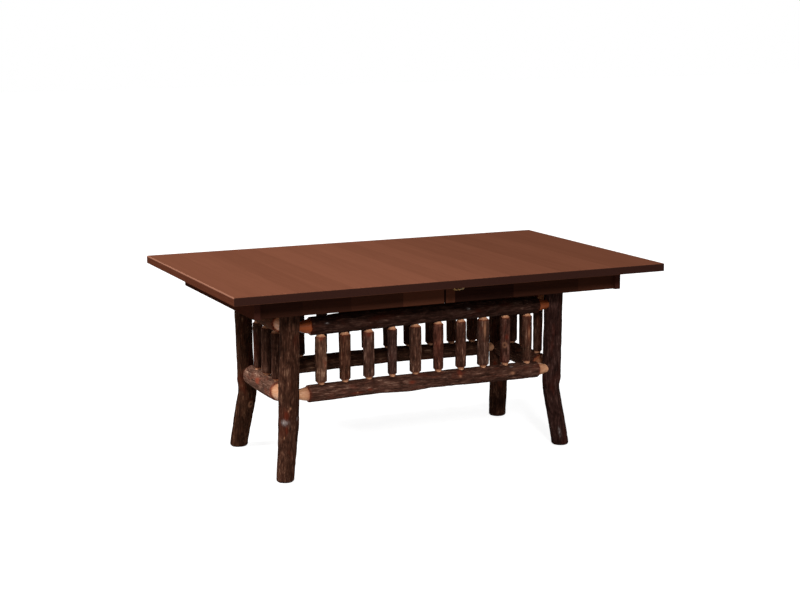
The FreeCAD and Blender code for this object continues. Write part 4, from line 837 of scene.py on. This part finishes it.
# %% Hardwood, nylon, steel and brass
def plain_wood(name, along):
    """Unstained hardwood with its grain along x or y."""
    finish, tree, shader, place = start_finish(name, 0.5)
    grain = drawn_out(tree, place, along, 0.05, 120, 5, 0.6, 0.8)
    tree.links.new(ramp(tree, grain, [(0.25, colour(150, 112, 72)), (0.75, colour(196, 158, 112))]),
                   shader.inputs["Base Color"])
    add_bump(tree, shader, grain, 0.15, 0.5 * MM)
    return finish


def plain_stuff(name, roughness, metallic, dark, light, scale):
    """Plastic or metal with a fine speckle."""
    finish, tree, shader, place = start_finish(name, roughness, metallic)
    speckle = noise(tree, place, scale, 4, 0.6)
    tree.links.new(ramp(tree, speckle, [(0.3, dark), (0.7, light)]), shader.inputs["Base Color"])
    add_bump(tree, shader, speckle, 0.08, 0.3 * MM)
    return finish


wood_x, wood_y = plain_wood("hardwood_along", "x"), plain_wood("hardwood_across", "y")
nylon = plain_stuff("black_nylon", 0.55, 0.0, colour(20, 20, 21), colour(40, 40, 42), 300)
steel = plain_stuff("zinc_steel", 0.34, 1.0, colour(140, 140, 142), colour(190, 190, 190), 180)
brass = plain_stuff("plain_brass", 0.42, 1.0, colour(70, 52, 30), colour(146, 114, 72), 160)
print("plain finishes:", [finish.name for finish in (wood_x, wood_y, nylon, steel, brass)])

# %% [markdown]
# These pieces are sawn, moulded or machined, so the engineering model has their true shape. They keep its
# meshes, and the finish is all that is put on them.

# %% Finishes on the model's pieces
FINISHES = {}
for side in ("left", "right"):
    FINISHES.update({side + "_top": top_stain, side + "_end_apron": end_apron_stain,
                     side + "_front_apron": apron_stain_and_shade, side + "_back_apron": apron_stain_and_shade,
                     side + "_slides": wood_x, side + "_rack": nylon, side + "_fasteners": steel,
                     side + "_cleat": wood_y})
FINISHES.update({"fixed_slides": wood_x, "pinion_bridge": wood_y, "pinion": nylon, "pinion_bolt": steel,
                 "base_screws": steel, "latch_keepers": brass, "latch_plates": brass,
                 "front_latch_lever": brass, "back_latch_lever": brass})
for name, finish in FINISHES.items():
    nodes[name].data.materials.clear()
    nodes[name].data.materials.append(finish)
print("finishes on", len(FINISHES), "pieces of the model")

# %% [markdown]
# ## Floor, light and camera
# The photograph has a plain white ground. The floor is a grey matt sheet that takes the table's shadow,
# and it glows for the camera and in reflections only, so that it goes white without more light falling on
# the table. The glow is a little weaker near the table, where the shadow has to show. The room is white in
# the same way, and lights the table with about a quarter of that.

# %% Floor and world
FLOOR_REACH, FLOOR_GREY = 30.0, (0.4, 0.4, 0.4, 1)
NEAR_GLOW, FULL_GLOW = (1.2, 0.86), (4.0, 1.0)
ROOM_LIGHT = 0.26


def in_the_picture(tree):
    """1 for rays that show the background: straight to the camera, mirrored, or through glass."""
    ray = put(tree, "ShaderNodeLightPath").outputs
    seen = math_node(tree, "MAXIMUM", ray["Is Camera Ray"], ray["Is Glossy Ray"])
    return math_node(tree, "MAXIMUM", seen, ray["Is Transmission Ray"])


corners = [(-1, -1), (1, -1), (1, 1), (-1, 1)]
floor_mesh = bpy.data.meshes.new("floor")
floor_mesh.from_pydata([(x * FLOOR_REACH, y * FLOOR_REACH, 0) for x, y in corners], [], [(0, 1, 2, 3)])
floor = bpy.data.objects.new("floor", floor_mesh)
bpy.context.scene.collection.objects.link(floor)
paper, tree, shader, place = start_finish("pale_floor", 0.9)
shader.inputs["Base Color"].default_value = FLOOR_GREY
shader.inputs["Emission Color"].default_value = WHITE
away = put(tree, "ShaderNodeVectorMath", {0: place}, operation="LENGTH").outputs["Value"]
glow = put(tree, "ShaderNodeMapRange", {
    "Value": away, "From Min": NEAR_GLOW[0], "From Max": FULL_GLOW[0],
    "To Min": NEAR_GLOW[1], "To Max": FULL_GLOW[1]}).outputs["Result"]
tree.links.new(math_node(tree, "MULTIPLY", in_the_picture(tree), glow), shader.inputs["Emission Strength"])
floor_mesh.materials.append(paper)

world = bpy.data.worlds.new("pale_room")
world.use_nodes = True
bpy.context.scene.world = world
tree = world.node_tree
back = tree.nodes["Background"]
back.inputs["Color"].default_value = WHITE
tree.links.new(math_node(tree, "MAXIMUM", in_the_picture(tree), ROOM_LIGHT), back.inputs["Strength"])
print("floor reach in metres:", FLOOR_REACH)

# %% [markdown]
# One lamp overhead would light the top and leave the base black. So a lamp high on the left gives the top
# its even tone and reaches the lower logs at that end. A second one stands lower, in front, and lights the
# spindles and the lower rail under the top. It is still high enough for the apron to keep the upper rail
# in the shade.

# %% Lamps
TABLE_MIDDLE = (0, 0, 0.3)


def soft_lamp(name, place, size, power):
    """A square lamp that points at the table."""
    lamp = bpy.data.lights.new(name, "AREA")
    lamp.size = size
    lamp.energy = power
    holder = bpy.data.objects.new(name, lamp)
    holder.location = place
    holder.rotation_euler = (Vector(TABLE_MIDDLE) - Vector(place)).to_track_quat("-Z", "Y").to_euler()
    bpy.context.scene.collection.objects.link(holder)
    return holder


# Name, place, width in metres and power in watts.
left_lamp = soft_lamp("left_lamp", (-5.5, 0.5, 5.6), 1.2, 500)
front_lamp = soft_lamp("front_lamp", (-1.5, -6.2, 3.5), 0.8, 250)
print("lamps:", left_lamp.data.energy, front_lamp.data.energy, "watts")

# %% [markdown]
# The camera stands where the photographer's stood. Its place and lens were worked out from the corners
# of the top and the feet: nearly seven metres away, 1.8 m high, with a long lens.

# %% Camera
STAND = (-2.7332, -5.9385, 1.8005)
LOOK = Vector((0.41092, 0.89410, -0.17815))
RIGHT = Vector((0.90840, -0.41809, -0.00300))
UP = Vector((0.07716, 0.16060, 0.98400))
camera_data = bpy.data.cameras.new("camera")
camera_data.sensor_width, camera_data.lens = 36, 72.39
camera = bpy.data.objects.new("camera", camera_data)
turn = Matrix((RIGHT, UP, -LOOK)).transposed().to_4x4()
camera.matrix_world = Matrix.Translation(STAND) @ turn
bpy.context.scene.collection.objects.link(camera)
bpy.context.scene.camera = camera
bpy.context.scene.view_settings.view_transform = "Standard"
print("lens in mm:", camera_data.lens)
